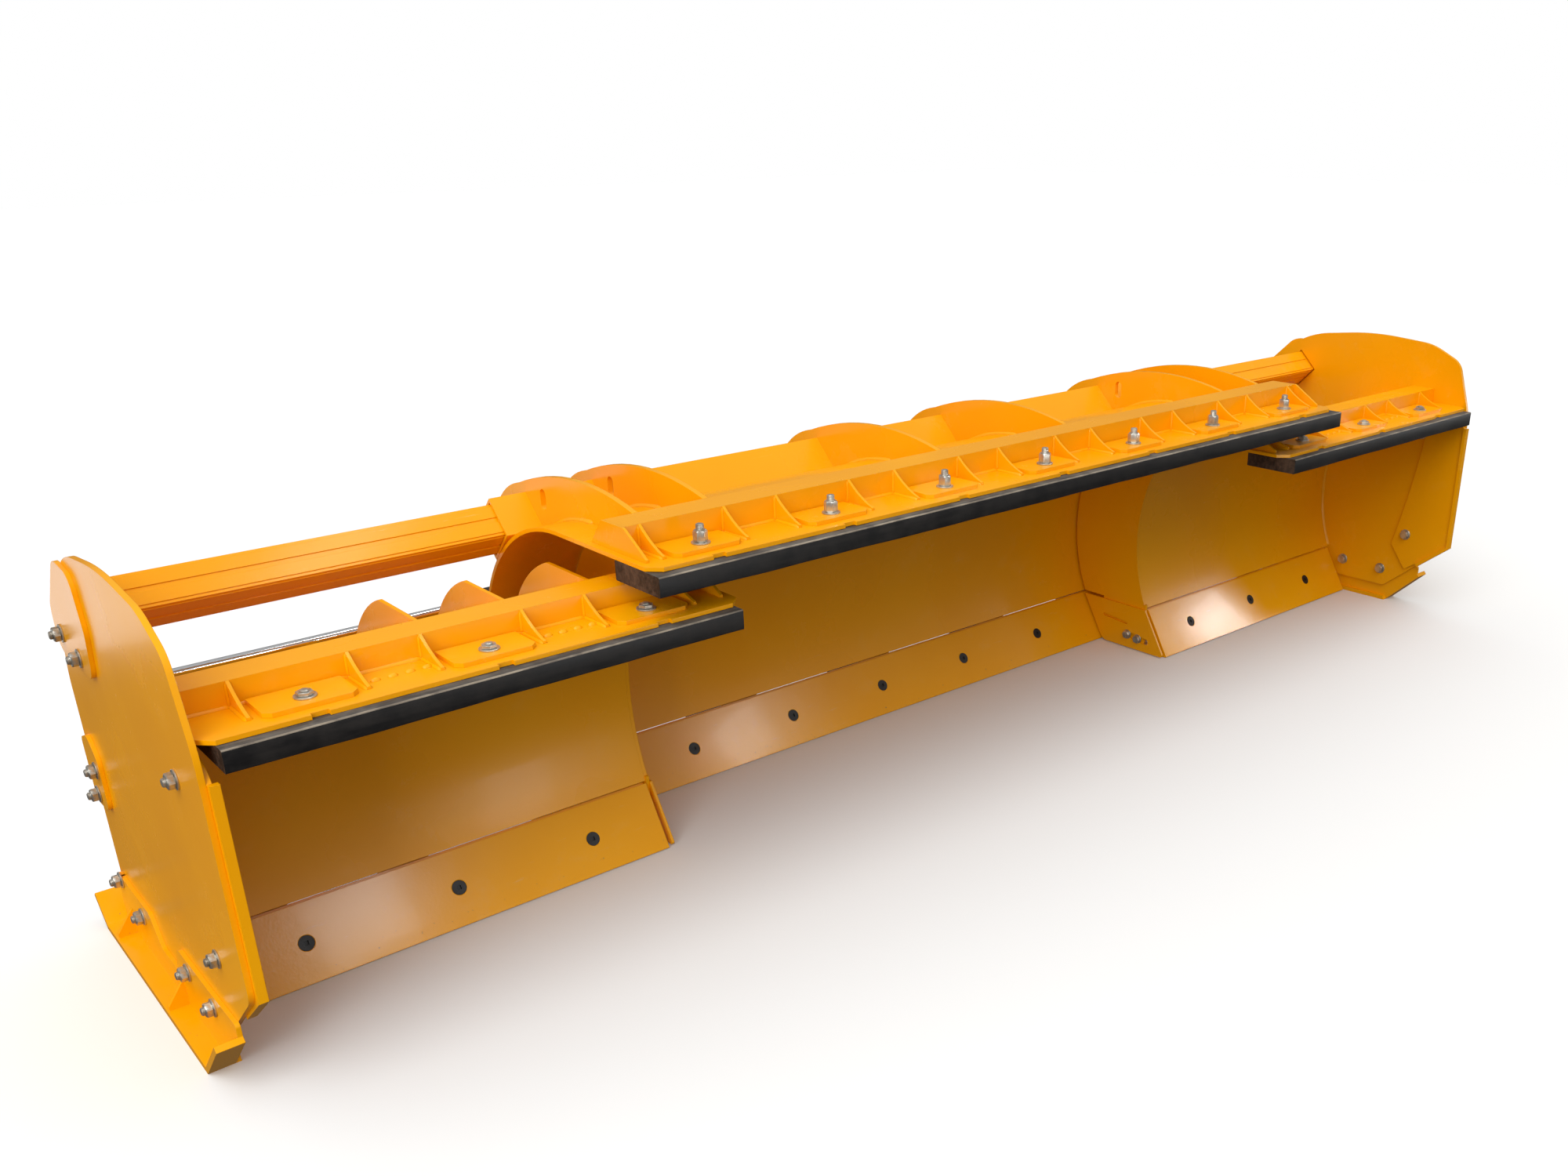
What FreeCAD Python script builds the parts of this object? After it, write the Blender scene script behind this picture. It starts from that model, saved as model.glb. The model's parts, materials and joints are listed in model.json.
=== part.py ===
import FreeCAD, Part
import math
import os

# Expanding snow pusher: a fixed centre section and two wings that slide out of it.
# X runs along the pusher, the open front faces -Y, and the ground is Z = 0.
# While it is drawn, Y = 0 is the front corner of the wings' cutting edges. Each piece is then
# moved by ORIGIN_Y, so the finished origin is on the ground under the middle of the whole outline.

V = FreeCAD.Vector
os.makedirs("parts", exist_ok=True)

# ---- overall sizes, mm ----
CENTER_HALF = 1065.0        # middle to each end of the centre section
WING_REACH = 1842.0         # middle to the outer face of an end plate, wings out
WING_LENGTH = 982.0         # outer face of the end plate to the wing's inner end
CENTER_SETBACK = 244.0      # centre section stands this far behind the wings
CENTER_HOOD_Z = 757.0       # underside of the centre hood
WING_HOOD_Z = 655.0         # underside of the wing hood

# ---- plate thicknesses ----
SHEET = 8.0
RIB_PLATE = 12.0
GUSSET = 6.0
END_PLATE = 10.0
DOUBLER = 8.0
WEAR_PLATE = 8.0

# ---- moldboard curve ----
LOWER_RADIUS = 480.0
LOWER_SWEEP = 25.0          # degrees of arc below and above the deepest point
CENTER_HOOD_FLAT = 342.0    # flat part of each hood, ahead of the curve
WING_HOOD_FLAT = 248.0
HOOD_CHAMFER = 26.0
NOTCH_WIDTH = 28.0          # notch in the hood's front edge at each rubber bolt
NOTCH_DEPTH = 8.0

# ---- cutting edges ----
EDGE_HEIGHT = 152.0
EDGE_THICK = 12.0
EDGE_TILT = 31.0            # degrees back from vertical
EDGE_GROUND = 4.0           # clear of the ground, the shoes carry the weight
EDGE_WORN = 1.5             # height of the flat worn on its lower edge
EDGE_BACKING = 10.0         # trip frame plate behind the edge
BACKING_FOOT = 10.0         # its lower side above the edge's lower side
BACKING_LIP = 5.0           # its upper side covers the seam to the moldboard
EDGE_PITCH = 305.0          # bolt spacing
EDGE_BOLT = 16.0
EDGE_NUT = 24.0             # across the nut's flats
EDGE_GAP = 4.0              # seam between a cutting edge and its moldboard
EDGE_END_GAP = 10.0

# ---- trip hinge ----
PIN_DIA = 20.0
PIN_PLAY = 0.05             # radial running clearance
KNUCKLE_DIA = 36.0
KNUCKLE_LENGTH = 50.0
HINGE_BACK = 34.0           # pin axis behind the foot of the moldboard
SPRING_DIA = 34.0
SPRING_LENGTH = 110.0

# ---- hood channel, gussets and rubber ----
CHANNEL_SHEET = 5.0
CENTER_CHANNEL_HEIGHT = 50.0
WING_CHANNEL_HEIGHT = 43.0
CHANNEL_TOP = 72.0          # width of the channel's flat top
CHANNEL_REAR_RUN = 42.0     # run of its sloping rear face
CHANNEL_FRONT = 118.0       # channel's front wall, behind the hood's front edge
CHANNEL_END = 15.0          # the channel stops short of the hood's end
GUSSET_RUN = 76.0
POCKET_PITCH = 306.7
POCKET_HALF = 92.0
WING_FIRST_BOLT = 188.5     # end plate to the first rubber bolt
RUBBER_THICK = 40.0
RUBBER_WIDTH = 150.0
RUBBER_LIP = 23.0           # rubber in front of the hood's edge
RUBBER_BOLT_BACK = 62.0     # bolt line behind the hood's front edge
RUBBER_BOLT = 16.0
HOLE_PLAY = 1.0             # radial clearance of bolt holes
WING_RUBBER_START = 34.0
WING_RUBBER_END = 956.0

# ---- diamond beam and its sleeve ----
SLEEVE_SIDE = 92.0
SLEEVE_WALL = 6.0
BEAM_SIDE = 74.0
BEAM_WALL = 8.0
STRIP_PLAY = 1.0            # sliding clearance of the wear strips in the sleeve
STRIP_WIDTH = 26.0
STRIP_GAP = 10.0
BEAM_LENGTH = 1067.0
BEAM_ALONG = 36.0           # sleeve centre, along its face, from the 45 degree line

# ---- extension cylinders ----
BARREL_DIA = 50.0
BARREL_WALL = 5.0
ROD_DIA = 20.0
CYL_Y = 390.0
CYL_Z = 524.0
BARREL_START = 195.0
BARREL_END = 1045.0
CYL_CAP = 15.0
PORT_IN = 31.0              # hose port to the end of its barrel
SADDLE_IN = 110.0           # saddle to the end of its barrel
PISTON_IN = 32.0            # piston to the gland, rod out
PISTON_LENGTH = 30.0

# ---- centre rear ribs ----
RIB_PLACES = (205.0, 820.0, 977.0)
RIB_BACK = 445.0
RIB_CROWN = 24.0            # crown of the rib above the channel's top
RIB_EYE_FROM = 800.0        # ribs further out than this have an eye slot
SERVICE_HOLE_PLAY = 5.0

# ---- quick attach ----
QA_WIDTH = 1143.0
QA_HEIGHT = 457.0
QA_BOTTOM = 112.0
QA_PLATE = 10.0
QA_PIN_SPACING = 827.0
QA_SLOT_WIDTH = 32.0
QA_SLOT_LENGTH = 60.0
QA_LIP = 46.0
QA_RIB_PLACES = (510.0,)

# ---- end plate outline ----
END_BACK = 470.0
END_TOP = 852.0
END_BOTTOM = 50.0

# ---- skid shoe ----
SHOE_THICK = 12.0
SHOE_OUT = 46.0             # shoe sole outside the end plate
SHOE_FRONT = 145.0
SHOE_BACK = 480.0
SHOE_TIP_RUN = 108.0
SHOE_TIP_RISE = 102.0
SHOE_REAR_RUN = 55.0
SHOE_REAR_RISE = 55.0
SHOE_WALL_TOP = 135.0

# ---- worked out from the sizes above ----
TILT = math.radians(EDGE_TILT)
SWEEP = math.radians(LOWER_SWEEP)
EDGE_TOP_Y = EDGE_HEIGHT * math.sin(TILT)
EDGE_TOP_Z = EDGE_GROUND + EDGE_HEIGHT * math.cos(TILT)
FOOT_Y = EDGE_TOP_Y + EDGE_GAP
FOOT_Z = EDGE_TOP_Z + EDGE_GAP
HINGE_Z = FOOT_Z


def export(node, shapes):
    """Write one node, a single solid or a group of separate solids."""
    shapes = shapes if isinstance(shapes, list) else [shapes]
    solids = [s for shape in shapes for s in shape.Solids]
    shape = solids[0] if len(solids) == 1 else Part.makeCompound(solids)
    shape.translate(V(0, -ORIGIN_Y, 0))
    shape.exportStep("parts/" + node + ".step")


def mirrored(shapes):
    """The same pieces on the other side of the middle plane."""
    shapes = shapes if isinstance(shapes, list) else [shapes]
    return [s.mirror(V(0, 0, 0), V(1, 0, 0)) for s in shapes]


def export_pair(name, shapes):
    """Pieces drawn for the left wing, written for both wings."""
    export("left_" + name, shapes)
    export("right_" + name, mirrored(shapes))


def prism(edges, x0, x1):
    """A plate between x0 and x1 from edges drawn in the YZ plane."""
    face = Part.Face(Part.Wire(Part.__sortEdges__(edges)))
    plate = face.extrude(V(x1 - x0, 0, 0))
    plate.translate(V(x0, 0, 0))
    return plate


def line(a, b):
    return Part.LineSegment(V(0, a[0], a[1]), V(0, b[0], b[1])).toShape()


def arc(a, mid, b):
    return Part.Arc(V(0, a[0], a[1]), V(0, mid[0], mid[1]), V(0, b[0], b[1])).toShape()


def rounded(points, radii):
    """Edges of a closed outline whose corners have the given radii."""
    count = len(points)
    corners = []
    for i in range(count):
        here = V(0, *points[i])
        before = (V(0, *points[i - 1]) - here).normalize()
        after = (V(0, *points[(i + 1) % count]) - here).normalize()
        radius = radii[i] if isinstance(radii, (list, tuple)) else radii
        if radius <= 0:
            corners.append((here, None, here))
            continue
        half = math.acos(max(-1.0, min(1.0, before.dot(after)))) / 2
        cut = radius / math.tan(half)
        centre = here + (before + after).normalize() * (radius / math.sin(half))
        mid = centre + (here - centre).normalize() * radius
        corners.append((here + before * cut, mid, here + after * cut))
    edges = []
    for i in range(count):
        start, mid, end = corners[i]
        if mid is not None:
            edges.append(Part.Arc(start, mid, end).toShape())
        nxt = corners[(i + 1) % count][0]
        if (nxt - end).Length > 1e-6:
            edges.append(Part.LineSegment(end, nxt).toShape())
    return edges


def plate_yz(points, radii, x0, x1):
    return prism(rounded(points, radii), x0, x1)


def rod_x(dia, y, z, x0, x1):
    return Part.makeCylinder(dia / 2, x1 - x0, V(x0, y, z), V(1, 0, 0))


def rod_z(dia, x, y, z0, z1):
    return Part.makeCylinder(dia / 2, z1 - z0, V(x, y, z0), V(0, 0, 1))


def tube_x(outer, inner, y, z, x0, x1):
    return rod_x(outer, y, z, x0, x1).cut(rod_x(inner, y, z, x0 - 1, x1 + 1))


def box(x0, x1, y0, y1, z0, z1):
    return Part.makeBox(x1 - x0, y1 - y0, z1 - z0, V(x0, y0, z0))


def hexagon(across, height, centre, axis, twist=0.0):
    """A hexagonal head or nut standing on centre along axis."""
    radius = across / math.sqrt(3)
    side = V(0, 1, 0) if abs(axis.y) < 0.9 else V(1, 0, 0)
    other = axis.cross(side)
    points = []
    for i in range(7):
        a = math.radians(60 * i + twist)
        points.append(centre + side * (radius * math.cos(a)) + other * (radius * math.sin(a)))
    return Part.Face(Part.makePolygon(points)).extrude(axis * height)


def diamond(side, y, z, x0, x1):
    """A square bar standing on its corner."""
    bar = Part.makeBox(x1 - x0, side, side, V(x0, -side / 2, -side / 2))
    bar.rotate(V(0, 0, 0), V(1, 0, 0), 45)
    bar.translate(V(0, y, z))
    return bar


class Curve:
    """Side profile of a moldboard: a lower arc, a tighter upper arc and a flat hood."""

    def __init__(self, foot_y, hood_z, hood_flat):
        knee_z = FOOT_Z + 2 * LOWER_RADIUS * math.sin(SWEEP)
        self.hood_z = hood_z
        self.upper = (hood_z - knee_z) / (1 - math.sin(SWEEP))
        self.low_y = foot_y - LOWER_RADIUS * math.cos(SWEEP)
        self.low_z = FOOT_Z + LOWER_RADIUS * math.sin(SWEEP)
        self.up_y = foot_y - self.upper * math.cos(SWEEP)
        self.up_z = knee_z - self.upper * math.sin(SWEEP)
        self.front = hood_flat - self.up_y

    def lower_point(self, angle, out=0.0):
        a = math.radians(angle)
        r = LOWER_RADIUS + out
        return (self.low_y + r * math.cos(a), self.low_z + r * math.sin(a))

    def upper_point(self, angle, out=0.0):
        a = math.radians(angle)
        r = self.upper + out
        return (self.up_y + r * math.cos(a), self.up_z + r * math.sin(a))

    def edges(self, start, end, out):
        """Profile edges from a lower angle up to an upper angle, offset by out."""
        knee = self.lower_point(LOWER_SWEEP, out)
        low = arc(self.lower_point(start, out), self.lower_point((start + LOWER_SWEEP) / 2, out), knee)
        high = arc(knee, self.upper_point((LOWER_SWEEP + end) / 2, out), self.upper_point(end, out))
        return [low, high]

    def upper_angle_at(self, z, out):
        return math.degrees(math.asin((z - self.up_z) / (self.upper + out)))


CENTER = Curve(FOOT_Y + CENTER_SETBACK, CENTER_HOOD_Z, CENTER_HOOD_FLAT)
WING = Curve(FOOT_Y, WING_HOOD_Z, WING_HOOD_FLAT)
END_FRONT = WING.front
FRONT_MOST = -(CENTER.front + RUBBER_LIP)
REAR_MOST = SHOE_BACK + SHOE_REAR_RUN
ORIGIN_Y = (FRONT_MOST + REAR_MOST) / 2

SLEEVE_OUT = CENTER.upper + SHEET + 0.5 + SLEEVE_SIDE / 2
ROOT2 = math.sqrt(0.5)
BEAM_Y = CENTER.up_y + (SLEEVE_OUT - BEAM_ALONG) * ROOT2
BEAM_Z = CENTER.up_z + (SLEEVE_OUT + BEAM_ALONG) * ROOT2


def bolt_line(curve):
    return -curve.front + RUBBER_BOLT_BACK


def moldboard(curve, x0, x1, chamfer_low, chamfer_high, bolt_xs):
    """The curved sheet with its flat hood, as one bent plate."""
    t = SHEET
    hood = curve.hood_z
    inner_foot = curve.lower_point(-LOWER_SWEEP)
    outer_foot = curve.lower_point(-LOWER_SWEEP, t)
    edges = curve.edges(-LOWER_SWEEP, 90, 0.0) + curve.edges(-LOWER_SWEEP, 90, t)
    edges.append(line(inner_foot, outer_foot))
    edges.append(line(curve.upper_point(90), (-curve.front, hood)))
    edges.append(line((-curve.front, hood), (-curve.front, hood + t)))
    edges.append(line((-curve.front, hood + t), curve.upper_point(90, t)))
    sheet = prism(edges, x0, x1)
    for flag, x, way in ((chamfer_low, x0, 1), (chamfer_high, x1, -1)):
        if flag:
            c = HOOD_CHAMFER
            corner = [V(x - way, -curve.front - 1, hood - 1), V(x + way * c, -curve.front - 1, hood - 1),
                      V(x - way, -curve.front + c, hood - 1), V(x - way, -curve.front - 1, hood - 1)]
            sheet = sheet.cut(Part.Face(Part.makePolygon(corner)).extrude(V(0, 0, t + 2)))
    hole = RUBBER_BOLT + 2 * HOLE_PLAY
    for x in bolt_xs:
        sheet = sheet.cut(rod_z(hole, x, bolt_line(curve), hood - 1, hood + t + 1))
        y = -curve.front
        sheet = sheet.cut(box(x - NOTCH_WIDTH / 2, x + NOTCH_WIDTH / 2, y - 1, y + NOTCH_DEPTH, hood - 1, hood + t + 1))
    return sheet


def channel(curve, height, x0, x1):
    """The raised channel folded from sheet and welded on top of the hood."""
    base = curve.hood_z + SHEET
    top = base + height
    front = -curve.front + CHANNEL_FRONT
    back = front + CHANNEL_TOP
    s = CHANNEL_SHEET
    slope = math.atan2(height, CHANNEL_REAR_RUN)
    toe = s / math.sin(slope)
    inner_run = CHANNEL_REAR_RUN * (height - s) / height
    points = [(front, base), (front, top), (back, top), (back + CHANNEL_REAR_RUN, base),
              (back + CHANNEL_REAR_RUN - toe, base),
              (back + CHANNEL_REAR_RUN - toe - inner_run, top - s),
              (front + s, top - s), (front + s, base)]
    return plate_yz(points, 0, x0, x1)


def channel_cap(curve, height, x0, x1):
    """A plate that closes the end of the channel and runs down to the hood's front."""
    base = curve.hood_z + SHEET
    front = -curve.front + CHANNEL_FRONT
    back = front + CHANNEL_TOP
    points = [(front - GUSSET_RUN, base), (front - GUSSET_RUN, base + 5), (front - 4, base + height),
              (back, base + height), (back + CHANNEL_REAR_RUN, base)]
    return plate_yz(points, [0, 0, 8, 0, 0], x0, x1)


def gusset(curve, height, x):
    """One rib in front of the channel, with a hollow slanting edge."""
    base = curve.hood_z + SHEET
    front = -curve.front + CHANNEL_FRONT
    top = base + height
    toe = (front - GUSSET_RUN, base + 5)
    mid = (front - GUSSET_RUN * 0.46, base + height * 0.47)
    edges = [line((front, base), (front, top)), arc((front, top), mid, toe),
             line(toe, (front - GUSSET_RUN, base)), line((front - GUSSET_RUN, base), (front, base))]
    return prism(edges, x - GUSSET / 2, x + GUSSET / 2)


def doubler(curve, x):
    """The rectangular pad under a rubber bolt, with chamfered corners."""
    z = curve.hood_z + SHEET
    y = bolt_line(curve)
    half_x = POCKET_HALF - GUSSET - 12
    y0 = y - 34
    y1 = -curve.front + CHANNEL_FRONT - 4
    c = 12
    points = [(x - half_x + c, y0), (x + half_x - c, y0), (x + half_x, y0 + c), (x + half_x, y1),
              (x - half_x, y1), (x - half_x, y0 + c)]
    wire = Part.makePolygon([V(px, py, z) for px, py in points + points[:1]])
    pad = Part.Face(wire).extrude(V(0, 0, DOUBLER))
    return pad.cut(rod_z(RUBBER_BOLT + 2 * HOLE_PLAY, x, y, z - 1, z + DOUBLER + 1))


def rubber(curve, x0, x1, bolt_xs):
    y0 = -curve.front - RUBBER_LIP
    bar = box(x0, x1, y0, y0 + RUBBER_WIDTH, curve.hood_z - RUBBER_THICK, curve.hood_z)
    hole = RUBBER_BOLT + 2 * HOLE_PLAY
    for x in bolt_xs:
        bar = bar.cut(rod_z(hole, x, bolt_line(curve), curve.hood_z - RUBBER_THICK - 1, curve.hood_z + 1))
    return bar


def rubber_bolts(curve, bolt_xs, stud_height, nut_height):
    """Bolt, washers and nut that clamp the rubber under the hood."""
    low = curve.hood_z - RUBBER_THICK
    seat = curve.hood_z + SHEET + DOUBLER
    y = bolt_line(curve)
    pieces = []
    for i, x in enumerate(bolt_xs):
        head = Part.makeCone(15, 12, 8, V(x, y, low), V(0, 0, -1))
        stud = rod_z(RUBBER_BOLT, x, y, low - 4, seat + stud_height)
        stud = stud.fuse(Part.makeCone(RUBBER_BOLT / 2, RUBBER_BOLT / 2 - 2, 2.5, V(x, y, seat + stud_height)))
        pieces.append(head.fuse(stud).removeSplitter())
        washer = rod_z(36, x, y, seat, seat + 3).cut(rod_z(RUBBER_BOLT, x, y, seat - 1, seat + 4))
        pieces.append(washer)
        nut = hexagon(24, nut_height, V(x, y, seat + 3), V(0, 0, 1), 17.0 * i)
        pieces.append(nut.cut(rod_z(RUBBER_BOLT, x, y, seat, seat + 60)))
    return pieces


def edge_frame(setback):
    """Placement of a cutting edge: its own flat plate stood up at the tilt."""
    place = FreeCAD.Placement()
    place.Rotation = FreeCAD.Rotation(V(1, 0, 0), -EDGE_TILT)
    place.Base = V(0, setback, EDGE_GROUND)
    return place


def edge_bolt_height():
    return EDGE_HEIGHT / 2


def cutting_edge(setback, x0, x1, bolt_xs):
    plate = box(x0, x1, 0, EDGE_THICK, 0, EDGE_HEIGHT)
    for x in bolt_xs:
        z = edge_bolt_height()
        plate = plate.cut(Part.makeCylinder(EDGE_BOLT / 2 + HOLE_PLAY, EDGE_THICK + 2, V(x, -1, z), V(0, 1, 0)))
        sink = Part.makeCone(EDGE_BOLT, EDGE_BOLT / 2 + HOLE_PLAY, 8, V(x, 0, z), V(0, 1, 0))
        plate = plate.cut(sink)
    plate.Placement = edge_frame(setback)
    return plate.cut(box(x0 - 1, x1 + 1, setback - 50, setback + 50, -50, EDGE_WORN))


def edge_bolts(setback, bolt_xs):
    pieces = []
    back = EDGE_THICK + EDGE_BACKING
    for x in bolt_xs:
        z = edge_bolt_height()
        head = Part.makeCone(EDGE_BOLT - 1, EDGE_BOLT / 2, 7.5, V(x, 0.6, z), V(0, 1, 0))
        shank = Part.makeCylinder(EDGE_BOLT / 2, back + 20, V(x, 1, z), V(0, 1, 0))
        socket = Part.makeBox(8, 4, 8, V(x - 4, 0, z - 4))
        bolt = head.fuse(shank).cut(socket).removeSplitter()
        nut = hexagon(EDGE_NUT, 13, V(x, back, z), V(0, 1, 0))
        nut = nut.cut(Part.makeCylinder(EDGE_BOLT / 2, 40, V(x, back - 1, z), V(0, 1, 0)))
        for piece in (bolt, nut):
            piece.Placement = edge_frame(setback)
            pieces.append(piece)
    return pieces


def hinge_y(setback):
    return FOOT_Y + setback + HINGE_BACK


def trip_frame(setback, x0, x1, bolt_xs, places):
    """Backing plate behind a cutting edge, with its own hinge knuckles."""
    plate = box(x0, x1, EDGE_THICK, EDGE_THICK + EDGE_BACKING, BACKING_FOOT, EDGE_HEIGHT + BACKING_LIP)
    for x in bolt_xs:
        hole = Part.makeCylinder(EDGE_BOLT / 2 + HOLE_PLAY, 60, V(x, 0, edge_bolt_height()), V(0, 1, 0))
        plate = plate.cut(hole)
    plate.Placement = edge_frame(setback)
    pin_y = hinge_y(setback)
    back = EDGE_THICK + EDGE_BACKING
    c, s = math.cos(TILT), math.sin(TILT)

    def on_back(height):
        return (setback + back * c + height * s, EDGE_GROUND + height * c - back * s)

    frame = plate
    bore = PIN_DIA + 2 * PIN_PLAY
    above_nut = edge_bolt_height() + EDGE_NUT / math.sqrt(3) + 2
    for x in places:
        a = x + KNUCKLE_LENGTH / 2 + 2
        b = a + KNUCKLE_LENGTH
        points = [on_back(EDGE_HEIGHT - 6), on_back(above_nut), (pin_y + 6, HINGE_Z - KNUCKLE_DIA / 2 + 2),
                  (pin_y, HINGE_Z)]
        lug = plate_yz(points, 0, a, b)
        frame = frame.fuse(lug).fuse(rod_x(KNUCKLE_DIA, pin_y, HINGE_Z, a, b))
    for x in places:
        a = x + KNUCKLE_LENGTH / 2
        frame = frame.cut(rod_x(bore, pin_y, HINGE_Z, a, a + KNUCKLE_LENGTH + 4))
    return frame.removeSplitter()


def fixed_knuckles(curve, setback, places):
    """Hinge knuckles that hang from the back of a moldboard."""
    pin_y = hinge_y(setback)
    pieces = []
    for x in places:
        a = x - KNUCKLE_LENGTH / 2
        b = x + KNUCKLE_LENGTH / 2
        low = curve.lower_point(-LOWER_SWEEP + 3.0, SHEET)
        high = curve.lower_point(-LOWER_SWEEP + 12.0, SHEET)
        mid = curve.lower_point(-LOWER_SWEEP + 7.5, SHEET)
        edges = [arc(low, mid, high), line(high, (pin_y + KNUCKLE_DIA / 2 - 2, HINGE_Z + 4)),
                 line((pin_y + KNUCKLE_DIA / 2 - 2, HINGE_Z + 4), (pin_y, HINGE_Z)), line((pin_y, HINGE_Z), low)]
        knuckle = prism(edges, a, b).fuse(rod_x(KNUCKLE_DIA, pin_y, HINGE_Z, a, b))
        knuckle = knuckle.cut(rod_x(PIN_DIA, pin_y, HINGE_Z, a - 1, b + 1))
        pieces.append(knuckle.removeSplitter())
    return pieces


def trip_springs(setback, places):
    """Outer shape of the torsion springs wound on the hinge pin."""
    pin_y = hinge_y(setback)
    pieces = []
    for x in places:
        a = x - KNUCKLE_LENGTH / 2 - 4 - SPRING_LENGTH
        pieces.append(tube_x(SPRING_DIA, PIN_DIA + 3, pin_y, HINGE_Z, a, a + SPRING_LENGTH))
    return pieces


# ======== centre section ========
CENTER_BOLTS = [POCKET_PITCH * k for k in range(-3, 4)]
CENTER_EDGE_BOLTS = [EDGE_PITCH * k for k in range(-3, 4)]
CENTER_CHANNEL_HALF = CENTER_HALF - CHANNEL_END
CENTER_EDGE_HALF = CENTER_HALF - EDGE_END_GAP


def center_hood():
    export("center_moldboard", moldboard(CENTER, -CENTER_HALF, CENTER_HALF, True, True, CENTER_BOLTS))
    body = channel(CENTER, CENTER_CHANNEL_HEIGHT, -CENTER_CHANNEL_HALF + GUSSET, CENTER_CHANNEL_HALF - GUSSET)
    export("center_hood_channel", body)
    ribs = [gusset(CENTER, CENTER_CHANNEL_HEIGHT, x + side * POCKET_HALF) for x in CENTER_BOLTS for side in (-1, 1)]
    cap = channel_cap(CENTER, CENTER_CHANNEL_HEIGHT, -CENTER_CHANNEL_HALF, -CENTER_CHANNEL_HALF + GUSSET)
    export("center_hood_gussets", ribs + [cap] + mirrored(cap))
    export("center_doubler_plates", [doubler(CENTER, x) for x in CENTER_BOLTS])
    export("center_rubber_bar", rubber(CENTER, -CENTER_HALF, CENTER_HALF, CENTER_BOLTS))
    export("center_rubber_bolts", rubber_bolts(CENTER, CENTER_BOLTS, 40.0, 15.0))


def rear_rib(x):
    """A humped rib behind the moldboard that carries the sleeve and the cylinder."""
    height = CENTER_CHANNEL_HEIGHT
    base = CENTER_HOOD_Z + SHEET
    top = base + height
    front = -CENTER.front + CHANNEL_FRONT + CHANNEL_TOP
    crown = top + RIB_CROWN
    foot_angle = -LOWER_SWEEP + 14
    foot = CENTER.lower_point(foot_angle, SHEET)
    shoulder = (BEAM_Y + 26, crown - 46)
    heel = (RIB_BACK, CYL_Z + 90)
    edges = CENTER.edges(foot_angle, 90, SHEET)
    hood_end = (front + CHANNEL_REAR_RUN, base)
    edges.append(line(CENTER.upper_point(90, SHEET), hood_end))
    edges.append(line(hood_end, (front, top)))
    edges.append(arc((front, top), (40.0, crown), shoulder))
    edges.append(arc(shoulder, (RIB_BACK - 32, CYL_Z + 190), heel))
    edges.append(line(heel, (RIB_BACK, foot[1] + 60)))
    edges.append(line((RIB_BACK, foot[1] + 60), foot))
    rib = prism(edges, x - RIB_PLATE / 2, x + RIB_PLATE / 2)
    rib = rib.cut(diamond(SLEEVE_SIDE, BEAM_Y, BEAM_Z, x - 20, x + 20))
    hole = BARREL_DIA + 2 * SERVICE_HOLE_PLAY
    rib = rib.cut(rod_x(hole, CYL_Y, CYL_Z, x - 20, x + 20))
    if x > -RIB_EYE_FROM:
        return rib
    eye_y = BEAM_Y - SLEEVE_SIDE * ROOT2 - 22
    eye = plate_yz([(eye_y, top - 62), (eye_y + 22, top - 62), (eye_y + 22, top - 18), (eye_y, top - 18)],
                   10.5, x - 20, x + 20)
    return rib.cut(eye)


def center_back():
    ribs = [rear_rib(-x) for x in RIB_PLACES]
    export("center_rear_ribs", ribs + mirrored(ribs))
    sleeve = diamond(SLEEVE_SIDE, BEAM_Y, BEAM_Z, -CENTER_HALF, CENTER_HALF)
    bore = diamond(SLEEVE_SIDE - 2 * SLEEVE_WALL, BEAM_Y, BEAM_Z, -CENTER_HALF - 1, CENTER_HALF + 1)
    export("beam_sleeve", sleeve.cut(bore))


def quick_attach():
    """Flat carrier plate with a hooked top lip and a slotted bottom lip."""
    half = QA_WIDTH / 2
    top = QA_BOTTOM + QA_HEIGHT
    back = RIB_BACK + QA_PLATE
    plate = box(-half, half, RIB_BACK, back, QA_BOTTOM, top)
    lip = plate_yz([(RIB_BACK, top), (back, top), (back + QA_LIP * ROOT2, top + QA_LIP * ROOT2),
                    (back + QA_LIP * ROOT2 - 7, top + QA_LIP * ROOT2 + 7), (RIB_BACK, top + 12)], 0, -half, half)
    shelf = box(-half, half, back, back + 60, QA_BOTTOM, QA_BOTTOM + QA_PLATE)
    for x in (-QA_PIN_SPACING / 2, QA_PIN_SPACING / 2):
        r = QA_SLOT_WIDTH / 2
        run = QA_SLOT_LENGTH / 2 - r
        y = back + 32
        slot = box(x - run, x + run, y - r, y + r, QA_BOTTOM - 1, QA_BOTTOM + QA_PLATE + 1)
        for end in (x - run, x + run):
            slot = slot.fuse(rod_z(QA_SLOT_WIDTH, end, y, QA_BOTTOM - 1, QA_BOTTOM + QA_PLATE + 1))
        shelf = shelf.cut(slot)
    export("quick_attach_plate", plate.fuse(lip).fuse(shelf).removeSplitter())
    ribs = []
    low_angle = -LOWER_SWEEP + 4
    foot = CENTER.lower_point(low_angle, SHEET)
    for place in QA_RIB_PLACES:
        high = CENTER.lower_point(LOWER_SWEEP, SHEET)
        mid = CENTER.lower_point((low_angle + LOWER_SWEEP) / 2, SHEET)
        edges = [arc(foot, mid, high), line(high, (RIB_BACK, high[1])),
                 line((RIB_BACK, high[1]), (RIB_BACK, QA_BOTTOM + 40)), line((RIB_BACK, QA_BOTTOM + 40), foot)]
        rib = prism(edges, place - RIB_PLATE / 2, place + RIB_PLATE / 2)
        hole = BARREL_DIA + 2 * SERVICE_HOLE_PLAY
        ribs.append(rib.cut(rod_x(hole, CYL_Y, CYL_Z, place - 20, place + 20)))
    export("quick_attach_ribs", ribs + mirrored(ribs))


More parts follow.
